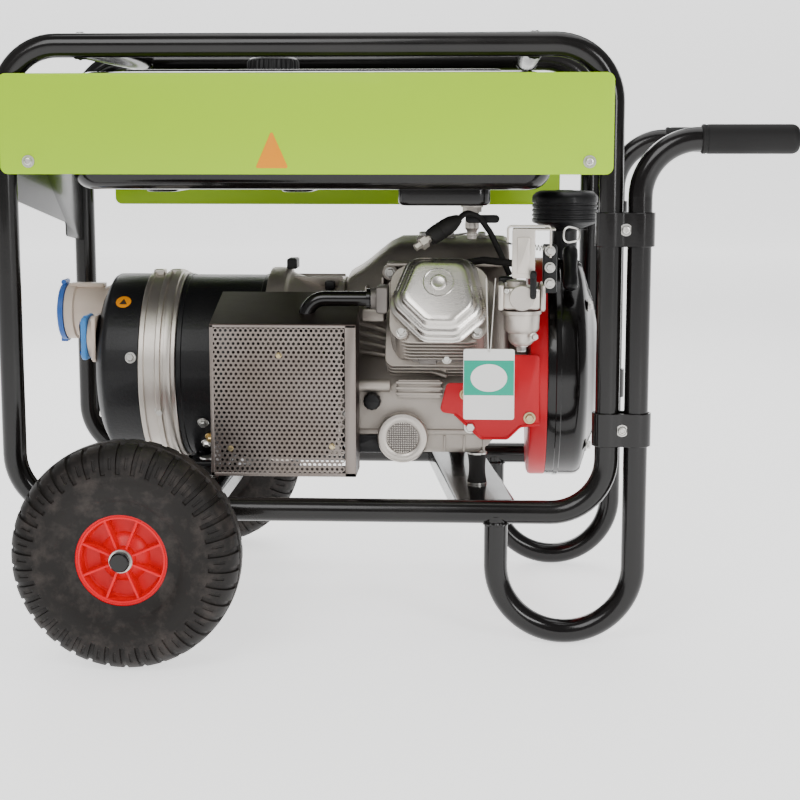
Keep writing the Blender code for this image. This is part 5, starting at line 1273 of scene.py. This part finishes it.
pull = np.array([0, -0.9, 0.436]) / np.hypot(0.9, 0.436)
across = (0, -pull[2], pull[1])
grip_at = at(0.312, CRANK_Y - 0.1008, CRANK_Z + 0.1344)
handle = [(-0.028, 0), (-0.028, 0.005), (-0.0262, 0.0078), (-0.0235, 0.0092), (-0.015, 0.0095),
          (-0.006, 0.0084), (0.006, 0.0084), (0.015, 0.0095), (0.0235, 0.0092), (0.0262, 0.0078),
          (0.028, 0.005), (0.028, 0)]
grip_parts = [turned(handle, grip_at, across, 28),
              turned([(0, 0.0085), (0.012, 0.005), (0.014, 0.0032), (0.014, 0)], grip_at, -pull, 24)]
grip_parts.append(tube(np.array([grip_at - pull * t for t in np.linspace(0.01, 0.026, 5)]), 0.0018, 12,
                       across=TO_RIGHT))
add_piece("starter_handle", grip_parts, dark_plastic, ["recoil_grip"], body="starter_grip")


# %% [markdown]
# The intake side: a ribbed air cleaner above, the carburettor with its bowl, levers and wires, and
# the plug cap with its lead.

# %% Air cleaner, carburettor and plug lead
low, high, foot = CRANK_Z + 0.1855, CRANK_Z + 0.227, CRANK_Z + 0.141
can = [(foot, 0), (foot, 0.016), (low - 0.01, 0.016), (low - 0.004, 0.03), (low, 0.04),
       (low + 0.002, 0.0418)]
for i in range(4):
    base = low + 0.005 + 0.0058 * i
    can += [(base, 0.0418), (base + 0.001, 0.0405), (base + 0.003, 0.0405), (base + 0.004, 0.0418)]
can += [(high - 0.01, 0.0418), (high - 0.007, 0.041), (high - 0.003, 0.037), (high - 0.001, 0.032),
        (high - 0.001, 0.012), (high, 0.01), (high, 0)]
add_piece("air_cleaner_can", [turned(can, at(0.3085, 0.02, 0), UP, 72)],
          textured_black, ["air_cleaner"])

carb = Spot("carburettor")
bowl = Spot("float_bowl")
carb_parts = [block(carb.low + (0.006, 0.004, 0.002), carb.high - (0.006, 0.002, 0.004), 0.004, "X"),
              block(carb.low + (0, 0.001, 0.001),
                    (carb.low[0] + 0.007, carb.high[1], carb.high[2]), 0.003, "X"),
              block((carb.high[0] - 0.006, carb.low[1] + 0.003, carb.low[2]), carb.high, 0.003, "X"),
              turned([(0, 0.015), (0.004, 0.015), (0.005, 0.014), (0.005, 0)],
                     (carb.mid[0], carb.low[1] + 0.005, carb.mid[2]), TO_FRONT, 32),
              turned([(0, 0.0125), (0.007, 0.0118), (0.008, 0.01), (0.008, 0)],
                     (carb.mid[0] - 0.006, carb.mid[1], carb.high[2] - 0.005), UP, 32)]
add_piece("carburettor_casting", carb_parts, fine_alloy, ["carburettor"])
rim, drop = bowl.size[0] / 2, bowl.high[2]
cup = [(0, 0), (0, rim), (-0.004, rim), (-0.005, rim * 0.92), (-0.0215, rim * 0.9), (-0.0255, rim * 0.8),
       (-0.027, rim * 0.68), (-0.036, rim * 0.66), (-0.0405, rim * 0.52), (-0.0425, rim * 0.34),
       (-0.0425, 0)]
bowl_parts = [turned(cup, (bowl.mid[0], bowl.mid[1], drop), UP, 56)]
add_piece("float_bowl_cup", bowl_parts, fine_alloy, ["float_bowl"])

fittings = [hex_bolt((bowl.mid[0], bowl.mid[1], drop - 0.042), (0, 0, -1), 0.011, 0.006, 0.0085),
            hex_bolt((bowl.mid[0] + rim * 0.6, bowl.mid[1] - rim * 0.66, drop - 0.03), (0.4, -0.9, 0),
                     0.007, 0.005, 0.005, 0.0008)]
for x in (0.01, 0.044):
    fittings.append(dome_screw((carb.low[0] + x, carb.low[1] + 0.0035, carb.high[2] - 0.008), TO_FRONT,
                               0.0034, 0.0026))
    fittings.append(hex_bolt((carb.low[0] + x + 0.001, carb.mid[1], carb.high[2] - 0.0045), UP, 0.007,
                             0.004, 0.005, 0.0008))
for i, z in enumerate((0.426, 0.4445, 0.464)):
    fittings.append(hex_bolt(at(0.2835, -0.158, z), TO_FRONT, 0.008, 0.005, 0.0064, 0.001))
loop = round_run([at(0.299, -0.15, 0.472), at(0.318, -0.15, 0.476), at(0.318, -0.15, 0.489),
                  at(0.3, -0.15, 0.493)], 0.006, 5, closed=True)
fittings.append(tube(loop, 0.0012, 10, closed=True))
spring = np.linspace(0, 1, 121)[:, None]
coil = np.concatenate([0.2435 + 0.04 * spring, -0.158 + 0.003 * np.cos(spring * 22 * pi),
                       0.4715 + 0.003 * np.sin(spring * 22 * pi) - 0.006 * spring], 1) + (FRAME_X, 0, 0)
fittings.append(tube(coil, 0.0006, 6, across=TO_RIGHT))
add_piece("carburettor_fittings", fittings, zinc)

control = box_outline(0.0135, 0.029, 0.003, 3, (FRAME_X + 0.2525, 0.461))
plates = [plate(control, "Y", carb.low[1] + 0.0015, carb.low[1] + 0.0033, 0.0006),
          block(at(0.24, carb.low[1] + 0.002, 0.488), at(0.29, carb.low[1] + 0.03, 0.49), 0.0008),
          block(at(0.245, carb.low[1] - 0.0002, 0.438), at(0.26, carb.low[1] + 0.0024, 0.48), 0.0008, "Y")]
wire = round_run([at(0.234, -0.16, 0.474), at(0.234, -0.16, 0.493), at(0.284, -0.16, 0.493),
                  at(0.284, -0.16, 0.456)], 0.004, 4)
plates.append(tube(wire, 0.0014, 10))
add_piece("control_plate", plates, fine_alloy)
bracket = [block(at(0.276, -0.156, 0.414), at(0.292, -0.118, 0.47), 0.002, "Y"),
           block(at(0.224, -0.118, 0.388), at(0.246, -0.1, 0.43), 0.003, "X")]
add_piece("intake_bracket", bracket, dark_plastic)

choke = Spot("choke_lever")
pivot = (choke.mid[0], choke.high[1], choke.low[2] + 0.004)
arm = box_outline(0.0038, choke.size[2] / 2, 0.0036, 5, (choke.mid[0], choke.mid[2]))
choke_parts = [plate(arm, "Y", choke.low[1], choke.low[1] + 0.003, 0.0007),
               turned([(0, 0.003), (0.0062, 0.003), (0.0066, 0.0022), (0.0066, 0)], pivot, TO_FRONT, 20),
               turned([(0, 0.0042), (0.002, 0.004), (0.003, 0.0028), (0.003, 0)],
                      (choke.mid[0], choke.low[1] + 0.0005, choke.high[2] - 0.005), TO_FRONT, 24)]
add_piece("choke_arm", choke_parts, dark_plastic, ["choke_lever"], body="choke_lever")

lead_points = np.array([(0.023, -0.128, 0.196), (0.031, -0.12, 0.203), (0.047, -0.106, 0.197),
                        (0.061, -0.098, 0.177), (0.073, -0.096, 0.152), (0.085, -0.094, 0.125)]) + CRANK
boot_root = CYLINDER @ np.array([-0.012, 0.0782, 0.2108]) + CRANK
boot_way = lead_points[0] - boot_root
reach = np.linalg.norm(boot_way)
boot = [(0, 0), (0, 0.009), (0.003, 0.0102), (reach * 0.3, 0.011), (reach * 0.34, 0.0103),
        (reach * 0.4, 0.011), (reach * 0.46, 0.0103), (reach * 0.52, 0.0108), (reach * 0.75, 0.0098),
        (reach * 0.92, 0.007), (reach, 0.0052), (reach, 0)]
lead_parts = [turned(boot, boot_root, boot_way, 36)]
lead_parts.append(tube(round_run(lead_points, 0.016, 6), 0.0036, 16))
hose = round_run([at(0.183, -0.088, 0.444), at(0.205, -0.1, 0.449), at(0.243, -0.13, 0.447)], 0.03, 6)
lead_parts.append(tube(hose, 0.0044, 16))
add_piece("plug_boot_and_lead", lead_parts, black_rubber, ["spark_plug_lead"])
plug = [(0, 0.0045), (0.008, 0.0045), (0.008, 0.0085), (0.016, 0.0085), (0.016, 0.0048), (0.028, 0.0044),
        (0.028, 0)]
plug_foot = boot_root - boot_way / reach * 0.022
add_piece("spark_plug", [turned(plug, plug_foot, boot_way, 6)], fine_alloy)


# %% [markdown]
# A blank swing tag hangs in front of the deflector on a white string.

# %% Swing tag
TAG_Y = -0.176
TAG_MIDDLE = (0.213, 0.308)
card = box_outline(0.03, 0.042, 0.003, 4, (FRAME_X + TAG_MIDDLE[0], TAG_MIDDLE[1]))
add_piece("tag_card", [plate(card, "Y", TAG_Y, TAG_Y + 0.0008, 0.0002)], white_card)
teal = [block(at(0.1836, TAG_Y - 0.0002, 0.295), at(0.2424, TAG_Y, 0.3365), 0.0001, "Y")]
add_piece("tag_band", teal, teal_print)
angle = np.linspace(0, 2 * pi, 48, endpoint=False)
ellipse = np.stack([FRAME_X + TAG_MIDDLE[0] + 0.0215 * np.cos(angle), 0.3157 + 0.0165 * np.sin(angle)], -1)
add_piece("tag_oval", [plate(ellipse, "Y", TAG_Y - 0.0004, TAG_Y - 0.0001)], white_card)
string = round_run([at(0.209, -0.15, 0.431), at(0.212, TAG_Y - 0.001, 0.347),
                    at(0.2145, TAG_Y - 0.001, 0.347), at(0.22, -0.15, 0.431)], 0.001, 3)
add_piece("tag_string", [tube(string, 0.0006, 8)], string_white)


# %% [markdown]
# Low on the case are the oil dipstick's knurled knob and the round cover with its mesh.

# %% Oil fittings
dip = Spot("oil_dipstick")
knob = [(0, 0), (0, 0.006), (0.003, 0.006), (0.0034, 0.0104), (0.0045, 0.0108), (0.013, 0.0102),
        (0.015, 0.0088), (0.0158, 0.006), (0.0158, 0)]
knob_parts = [turned(knob, (dip.mid[0], dip.high[1], dip.mid[2]), TO_FRONT, 72, scallop=0.025, waves=12)]
knob_parts.append(block((dip.mid[0] - 0.0075, dip.low[1], dip.mid[2] - 0.0018),
                        (dip.mid[0] + 0.0075, dip.low[1] + 0.004, dip.mid[2] + 0.0018), 0.0008))
add_piece("dipstick_knob", knob_parts, dark_plastic, ["oil_dipstick"], body="oil_dipstick")

vent = Spot("vented_cover")
vent_at = (vent.mid[0], vent.high[1], vent.mid[2])
rim_ring = [(0.0, 0.0), (0.0, 0.0254), (0.006, 0.0254), (0.0075, 0.03), (0.01, 0.031), (0.016, 0.0308),
            (0.0182, 0.0292), (0.019, 0.0262), (0.0186, 0.0215), (0.017, 0.0195), (0.015, 0.019),
            (0.015, 0)]
add_piece("vented_cover_ring", [turned(rim_ring, vent_at, TO_FRONT, 72)], fine_alloy,
          ["vented_cover"])
mesh_parts = []
for i in range(-6, 7):
    half = sqrt(0.0188 ** 2 - (0.0027 * i) ** 2)
    for way in (0, 1):
        offset = (0.0027 * i, 0) if way else (0, 0.0027 * i)
        size = (0.0005, half) if way else (half, 0.0005)
        start = (vent.mid[0] + offset[0] - size[0], vent.high[1] - 0.0162,
                 vent.mid[2] + offset[1] - size[1])
        end = (vent.mid[0] + offset[0] + size[0], vent.high[1] - 0.015, vent.mid[2] + offset[1] + size[1])
        mesh_parts.append(block(start, end, 0.0002, "Y"))
add_piece("vented_cover_mesh", mesh_parts, dark_alloy)


# %% [markdown]
# ## Exhaust
# The guard's front is a real perforated sheet: one six-sided cell with a round hole, repeated on a
# honeycomb.  Each cell is a ring between twelve points of the hexagon and twelve of the hole.

# %% Muffler, pipe and perforated guard
GUARD_X = (-0.1185, 0.0554)
GUARD_Z = (CRANK_Z - 0.109, CRANK_Z + 0.073)
GUARD_Y = -0.17
GUARD_T = 0.002
HOLE_PITCH = 0.006
HOLE_R = 0.00185
FIELD_X = (-0.1172, 0.044)
FIELD_Z = (GUARD_Z[0] + 0.004, GUARD_Z[1] - 0.002)


def perforated_sheet():
    """Cells on a honeycomb: (hexagon, hole) rings at the front and back, joined through each hole."""
    corner = HOLE_PITCH / sqrt(3)
    angle = np.radians(np.arange(12) * 30 + 30)
    reach = np.where(np.arange(12) % 2 == 0, HOLE_PITCH / 2 / cos(pi / 6), HOLE_PITCH / 2)
    hexagon = np.stack([reach * np.cos(angle), reach * np.sin(angle)], -1)
    hole = HOLE_R * np.stack([np.cos(angle), np.sin(angle)], -1)
    columns = int((FIELD_X[1] - FIELD_X[0]) / HOLE_PITCH)
    rows = int((FIELD_Z[1] - FIELD_Z[0]) / (1.5 * corner)) + 1
    i, j = np.meshgrid(np.arange(columns), np.arange(rows))
    x = FIELD_X[0] + HOLE_PITCH * (0.5 + i + 0.5 * (j % 2))
    z = FIELD_Z[0] + corner * 1.5 * j
    middle = np.stack([x.ravel(), z.ravel()], -1)[:, None]
    rings = [middle + hexagon, middle + hole, middle + hole, middle + hexagon]
    depth = [GUARD_Y, GUARD_Y, GUARD_Y + GUARD_T, GUARD_Y + GUARD_T]
    points = np.stack([np.stack([FRAME_X + r[..., 0], np.full(r.shape[:2], y), r[..., 1]], -1)
                       for r, y in zip(rings, depth)], 1)
    count = len(middle)
    number = np.arange(count * 48).reshape(count, 4, 12)
    here, down = number[:, :-1], number[:, 1:]
    faces = np.stack([here, np.roll(here, -1, 2), np.roll(down, -1, 2), down], -1).reshape(-1, 4)
    print("holes:", count)
    return points.reshape(-1, 3), [faces]


def guard_border():
    """The plain strips round the field of holes."""
    x0, x1 = GUARD_X
    z0, z1 = GUARD_Z
    inner = GUARD_Y + GUARD_T
    strips = [((x0, z0), (FIELD_X[0] + 0.003, z1)), ((FIELD_X[1] - 0.0015, z0), (x1, z1)),
              ((x0, z0), (x1, FIELD_Z[0] + 0.0005)), ((x0, FIELD_Z[1] - 0.001), (x1, z1))]
    return [block(at(a[0], GUARD_Y - 0.0004, a[1]), at(b[0], inner + 0.0002, b[1]), 0.0004, "Y") for a,
            b in strips]


def guard_wrap():
    """The sides, the floor and the sloping top of the guard."""
    x0, x1 = GUARD_X
    z0, z1 = GUARD_Z
    parts = []
    side = [(GUARD_Y, z0), (-0.11, z0), (-0.11, z1 + 0.0155), (GUARD_Y, z1)]
    for x in (x0, x1 - GUARD_T):
        parts.append(plate(round_run(side, 0.004, 3, closed=True), "X", FRAME_X + x, FRAME_X + x + GUARD_T,
                           0.0004))
    parts.append(block(at(x0, GUARD_Y, z0), at(x1, -0.11, z0 + GUARD_T), 0.0005))
    top = [(GUARD_Y, z1 - 0.001), (-0.062, z1 + 0.028), (-0.062, z1 + 0.03), (GUARD_Y, z1 + 0.001)]
    parts.append(plate(top, "X", FRAME_X + x0, FRAME_X + x1, 0.0003))
    return parts


add_piece("guard_perforated_front", [perforated_sheet()] + guard_border(), guard_steel)
add_piece("guard_folded_sheet", guard_wrap(), scorched, ["muffler_guard"])
guard_screws = []
for x, z in ((-0.036, 0.34), (-0.095, 0.2275), (0.027, 0.231)):
    guard_screws.append(hex_bolt(at(x, GUARD_Y - 0.0004, z), TO_FRONT, 0.0052, 0.003, 0.0036, 0.0006))
add_piece("guard_screws", guard_screws, yellow_zinc)

muffler = Spot("muffler")
can_outline = box_outline(muffler.size[0] / 2, muffler.size[2] / 2, 0.022, 6,
                          (muffler.mid[0], muffler.mid[2]))
muffler_parts = [plate(can_outline, "Y", muffler.low[1], muffler.mid[1] - 0.001, 0.006, 4),
                 plate(can_outline, "Y", muffler.mid[1] + 0.001, muffler.high[1], 0.006, 4)]
muffler_parts.append(plate(inset(can_outline, -0.0015), "Y", muffler.mid[1] - 0.0015,
                           muffler.mid[1] + 0.0015, 0.0005))
add_piece("muffler_shells", muffler_parts, scorched, ["muffler"])

pipe = Spot("exhaust_pipe")
pipe_path = round_run([(pipe.high[0], -0.128, 0.404), at(-0.008, -0.128, 0.404),
                       at(-0.008, -0.128, pipe.low[2])], 0.024, 14)
pipe_parts = [tube(pipe_path, 0.009, 28),
              turned([(0, 0.0125), (0.004, 0.0125), (0.0045, 0.0115), (0.0045, 0)],
                     at(0.066, -0.128, 0.404), TO_RIGHT, 32)]
add_piece("exhaust_bend", pipe_parts, black_paint, ["exhaust_pipe"])


# %% [markdown]
# ## Alternator
# Four turned shells stand in line on the crank axis: the end cover with its air slots, the end
# shield, the housing on its foot, and the ribbed drive-end bracket.  Bolts stand round them.

# %% Alternator shells
END_X = (-0.28, -0.2223)
BAND_X = (-0.222, -0.176)
HOUSING_X = (-0.1757, -0.068)
BRACKET_X = (-0.0677, 0.0297)


def shell(profile, steps=128):
    """A profile of (x from the frame's middle, radius) turned round the crank axis."""
    return turned([(FRAME_X + x, r) for x, r in profile], crank_at, TO_RIGHT, steps)


def radial_place(x, z, radius):
    """The point on the front of a shell at this x and z, and its outward normal."""
    rise = z - CRANK_Z
    y = -sqrt(radius ** 2 - rise ** 2)
    return at(x, CRANK_Y + y, z), (0, y / radius, rise / radius)


x0, x1 = END_X
cover_profile = [(x0 + 0.004, 0), (x0 + 0.004, 0.06), (x0, 0.066), (x0, 0.0945), (x0 + 0.0012, 0.098),
                 (x0 + 0.011, 0.116), (x0 + 0.014, 0.1178), (x0 + 0.018, 0.118), (x1 - 0.001, 0.118),
                 (x1, 0.1172), (x1, 0)]
end_parts = [shell(cover_profile)]
slot = block((-0.002, 0.07, 0), (0.002, 0.09, 0.001), 0.0004)
end_parts += ring_of(slot, 24, TO_LEFT, at(x0 + 0.0004, CRANK_Y, CRANK_Z))
add_piece("end_cover_shell", end_parts, textured_black, ["alternator_end_cover"])

x0, x1 = BAND_X
band_profile = [(x0, 0), (x0, 0.1205), (x0 + 0.001, 0.1215), (x0 + 0.006, 0.1215), (x0 + 0.007, 0.1185),
                (x0 + 0.02, 0.1185), (x0 + 0.021, 0.1225), (x0 + 0.022, 0.1236), (x0 + 0.027, 0.1236),
                (x0 + 0.028, 0.12), (x0 + 0.031, 0.12), (x0 + 0.032, 0.1236), (x0 + 0.037, 0.124),
                (x1 - 0.006, 0.1225), (x1 - 0.005, 0.12), (x1 - 0.001, 0.12), (x1, 0.119), (x1, 0)]
band_parts = [shell(band_profile)]
for z, way in ((CRANK_Z + 0.1215, 1), (CRANK_Z - 0.1215, 1)):
    for x in (x0 + 0.008, x1 - 0.016):
        band_parts.append(block(at(x - 0.006, CRANK_Y - 0.016, z - 0.006),
                                at(x + 0.008, CRANK_Y + 0.004, z + 0.003), 0.002))
add_piece("end_shield_ring", band_parts, fine_alloy, ["alternator_band"])

x0, x1 = HOUSING_X
housing_profile = [(x0, 0.113), (x0, 0.1165), (x0 + 0.001, 0.118), (x0 + 0.006, 0.118), (x0 + 0.007, 0.117),
                   (x1 - 0.007, 0.117), (x1 - 0.006, 0.118), (x1 - 0.001, 0.118), (x1, 0.1165), (x1, 0.113)]
foot_box = Spot("alternator_housing")
housing_parts = [turned([(FRAME_X + x, r) for x, r in housing_profile],
                        crank_at, TO_RIGHT, 128, closed=True),
                 block((FRAME_X - 0.14 - 0.026, foot_box.low[1] + 0.0185, foot_box.low[2]),
                       (FRAME_X - 0.14 + 0.026, foot_box.high[1] - 0.0185, foot_box.low[2] + 0.006), 0.002),
                 block(at(-0.16, CRANK_Y - 0.045, foot_box.low[2] + 0.004),
                       at(-0.152, CRANK_Y + 0.045, CRANK_Z - 0.1), 0.0015),
                 block(at(-0.128, CRANK_Y - 0.045, foot_box.low[2] + 0.004),
                       at(-0.12, CRANK_Y + 0.045, CRANK_Z - 0.1), 0.0015)]
add_piece("alternator_shell", housing_parts, textured_black, ["alternator_housing"])

x0, x1 = BRACKET_X
bracket_profile = [(x0, 0), (x0, 0.123), (x0 + 0.001, 0.1262), (x0 + 0.003, 0.127), (x0 + 0.022, 0.127),
                   (x0 + 0.024, 0.1258), (x0 + 0.026, 0.1215), (x0 + 0.03, 0.119), (x0 + 0.052, 0.112),
                   (x0 + 0.075, 0.106), (x1 - 0.01, 0.106), (x1 - 0.008, 0.115), (x1 - 0.001, 0.115),
                   (x1, 0.114), (x1, 0)]
bracket_parts = [shell(bracket_profile)]
rib = block((-0.002, 0.104, FRAME_X + x0 + 0.02), (0.002, 0.119, FRAME_X + x1 - 0.004), 0.001)
bracket_parts += ring_of(rib, 16, TO_RIGHT, crank_at, 0.5)
add_piece("drive_end_casting", bracket_parts, cast_alloy, ["drive_end_bracket"])

alternator_bolts = []
for x, z, radius in ((-0.2317, 0.3251, 0.118), (-0.1975, 0.258, 0.119), (-0.1448, 0.242, 0.118),
                     (-0.1448, 0.212, 0.118), (-0.056, 0.36, 0.127), (-0.056, 0.25, 0.127)):
    place, normal = radial_place(x, z, radius - 0.0006)
    alternator_bolts.append(hex_bolt(place, normal, 0.0085, 0.005, 0.007, 0.0012))
for i in range(4):
    turn = pi / 4 + pi / 2 * i
    place = at(END_X[0] + 0.0002, CRANK_Y + 0.08 * cos(turn) * 1.02, CRANK_Z + 0.08 * sin(turn) * 1.02)
    alternator_bolts.append(hex_bolt(place, TO_LEFT, 0.008, 0.0045, 0.0065, 0.001))
add_piece("alternator_bolts", alternator_bolts, zinc)
place, normal = radial_place(-0.1377, 0.2214, 0.1176)
add_piece("earth_terminal", [hex_bolt(place, normal, 0.009, 0.006, 0.0075, 0.0012)], brass)
place, normal = radial_place(-0.2467, 0.3909, 0.118)
spot_disc = [(0, 0.0096), (0.0003, 0.0096), (0.0004, 0.0092), (0.0004, 0)]
add_piece("round_sticker", [turned(spot_disc, place, normal, 40)], sticker_amber)
mark = round_run([(-0.005, -0.0042), (0.005, -0.0042), (0.0, 0.0052)], 0.0006, 3, closed=True)
mark_plate = placed(plate(mark, "Z", 0.0004, 0.0006), facing(normal), place)
add_piece("sticker_mark", [mark_plate], sticker_ink)
tabs = [block(at(-0.047, 0.012, 0.4285), at(-0.034, 0.046, 0.442), 0.002),
        block(at(0.004, -0.01, 0.404), at(0.016, 0.01, 0.415), 0.002)]
add_piece("cable_tabs", tabs, dark_plastic)


# %% [markdown]
# The two outlets stand on the end cover.  Each has a moulded body, a well with its pins, and a lid
# on a sprung hinge.

# %% Outlets and breaker
def outlet_pins(spot, count, radius, depth):
    """Round pins on a circle at the bottom of an outlet's well."""
    pin = [(0, 0.002), (0.01, 0.002), (0.011, 0.0012), (0.011, 0)]
    turn = 2 * pi * np.arange(count) / count + pi / 2
    return [turned(pin, (spot.low[0] + depth, spot.mid[1] + radius * cos(t), spot.mid[2] + radius * sin(t)),
                   TO_LEFT, 14) for t in turn]


big = Spot("socket_large")
back, depth, radius = big.high[0], big.size[0], big.size[1] / 2
big_profile = [(0, 0), (0, radius), (0.006, radius), (0.008, radius - 0.002),
               (depth - 0.014, radius - 0.003), (depth - 0.012, radius), (depth - 0.001, radius),
               (depth, radius - 0.001), (depth, radius - 0.0045), (depth - 0.022, radius - 0.006),
               (depth - 0.022, 0)]
big_parts = [turned(big_profile, (back, big.mid[1], big.mid[2]), TO_LEFT, 72)]
big_parts += [block((back - 0.014, big.mid[1] - 0.01, big.mid[2] + radius - 0.004),
                    (back - depth + 0.002, big.mid[1] + 0.01, big.mid[2] + radius + 0.002), 0.0015)]
add_piece("large_outlet_body", big_parts, cream_plastic, ["socket_large"])
lid = Spot("socket_large_lid")
lid_profile = [(0, 0), (0, radius + 0.002), (0.0055, radius + 0.002), (0.0072, radius + 0.0008),
               (0.009, radius - 0.006), (0.0098, radius - 0.01), (0.0108, radius - 0.012),
               (0.011, radius - 0.02), (0.0102, radius - 0.022), (0.0102, 0)]
lid_parts = [turned(lid_profile, (lid.high[0], lid.mid[1], big.mid[2]), TO_LEFT, 72),
             turned([(-0.011, 0), (-0.011, 0.0034), (0.011, 0.0034), (0.011, 0)],
                    (lid.high[0] - 0.0036, lid.mid[1], big.mid[2] + radius + 0.0036), TO_BACK, 20),
             block((lid.low[0] + 0.001, lid.mid[1] - 0.008, big.mid[2] - radius - 0.0035),
                   (lid.high[0] - 0.001, lid.mid[1] + 0.008, big.mid[2] - radius + 0.004), 0.0012)]
add_piece("large_outlet_lid", lid_parts, blue_plastic, ["socket_large_lid"],
          body="large_lid")

small = Spot("socket_small")
half = small.size[1] / 2
outer = box_outline(half, half, 0.006, 5, (small.mid[1], small.mid[2]))
small_parts = [plate(outer, "X", small.high[0] - 0.005, small.high[0], 0.001)]
well = [(0, 0), (0, half - 0.002), (0.01, half - 0.002), (0.0115, half - 0.003), (0.012, half - 0.004),
        (0.012, half - 0.0062), (0.0045, half - 0.0066), (0.0045, 0)]
small_parts.append(turned(well, (small.high[0], small.mid[1], small.mid[2]), TO_LEFT, 64))
add_piece("small_outlet_body", small_parts, cream_plastic, ["socket_small"])
small_lid = Spot("socket_small_lid")
lid_outline = box_outline(small_lid.size[1] / 2, small_lid.size[2] / 2, 0.008, 6,
                          (small_lid.mid[1], small_lid.mid[2]))
small_lid_parts = [plate(lid_outline, "X", small_lid.low[0] + 0.0022, small_lid.high[0], 0.002, 4),
                   plate(inset(lid_outline, 0.009), "X", small_lid.low[0],
                         small_lid.low[0] + 0.004, 0.0015, 3),
                   turned([(-0.016, 0), (-0.016, 0.003), (0.016, 0.003), (0.016, 0)],
                          (small_lid.high[0] - 0.003, small_lid.mid[1], small_lid.high[2] - 0.001), TO_BACK,
                          18)]
add_piece("small_outlet_lid", small_lid_parts, sky_plastic, ["socket_small_lid"],
          body="small_lid")
pins = outlet_pins(big, 3, 0.012, 0.0215) + outlet_pins(small, 2, 0.0095, 0.011)
add_piece("outlet_pins", pins, brass)
socket_screws = []
for y, z in ((-1, -1), (-1, 1), (1, -1), (1, 1)):
    socket_screws.append(dome_screw((small.high[0] - 0.005, small.mid[1] + y * (half - 0.005),
                                     small.mid[2] + z * (half - 0.005)), TO_LEFT, 0.0024, 0.0014))
add_piece("outlet_screws", socket_screws, zinc)
breaker = Spot("breaker_button")
face = END_X[0] + FRAME_X
button = [(-0.0098, 0), (-0.0098, 0.0058), (0.005, 0.0058), (0.0064, 0.005), (0.0069, 0.0034), (0.0069, 0)]
add_piece("breaker_push", [turned(button, (face, breaker.mid[1], breaker.mid[2]), TO_LEFT, 28)],
          red_plastic, ["breaker_button"], body="breaker_button")
collar = [(0.0006, 0.0066), (0.0006, 0.0105), (0.003, 0.01), (0.0036, 0.009), (0.0036, 0.0066)]
add_piece("breaker_collar",
          [turned(collar, (face + 0.0042, breaker.mid[1], breaker.mid[2]), TO_LEFT, 32, closed=True)],
          dark_plastic)


# %% [markdown]
# The rotor, fan, piston and windings stay as the design has them: they are hidden inside, and only
# take a finish.

# %% Finishes of the hidden inner parts
for name, material in (("crankshaft_rotor", zinc), ("flywheel_fan", dark_alloy), ("piston", fine_alloy),
                       ("stator", copper)):
    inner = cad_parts[name].data
    inner.materials.clear()
    inner.materials.append(material)
    print("finish on", name)
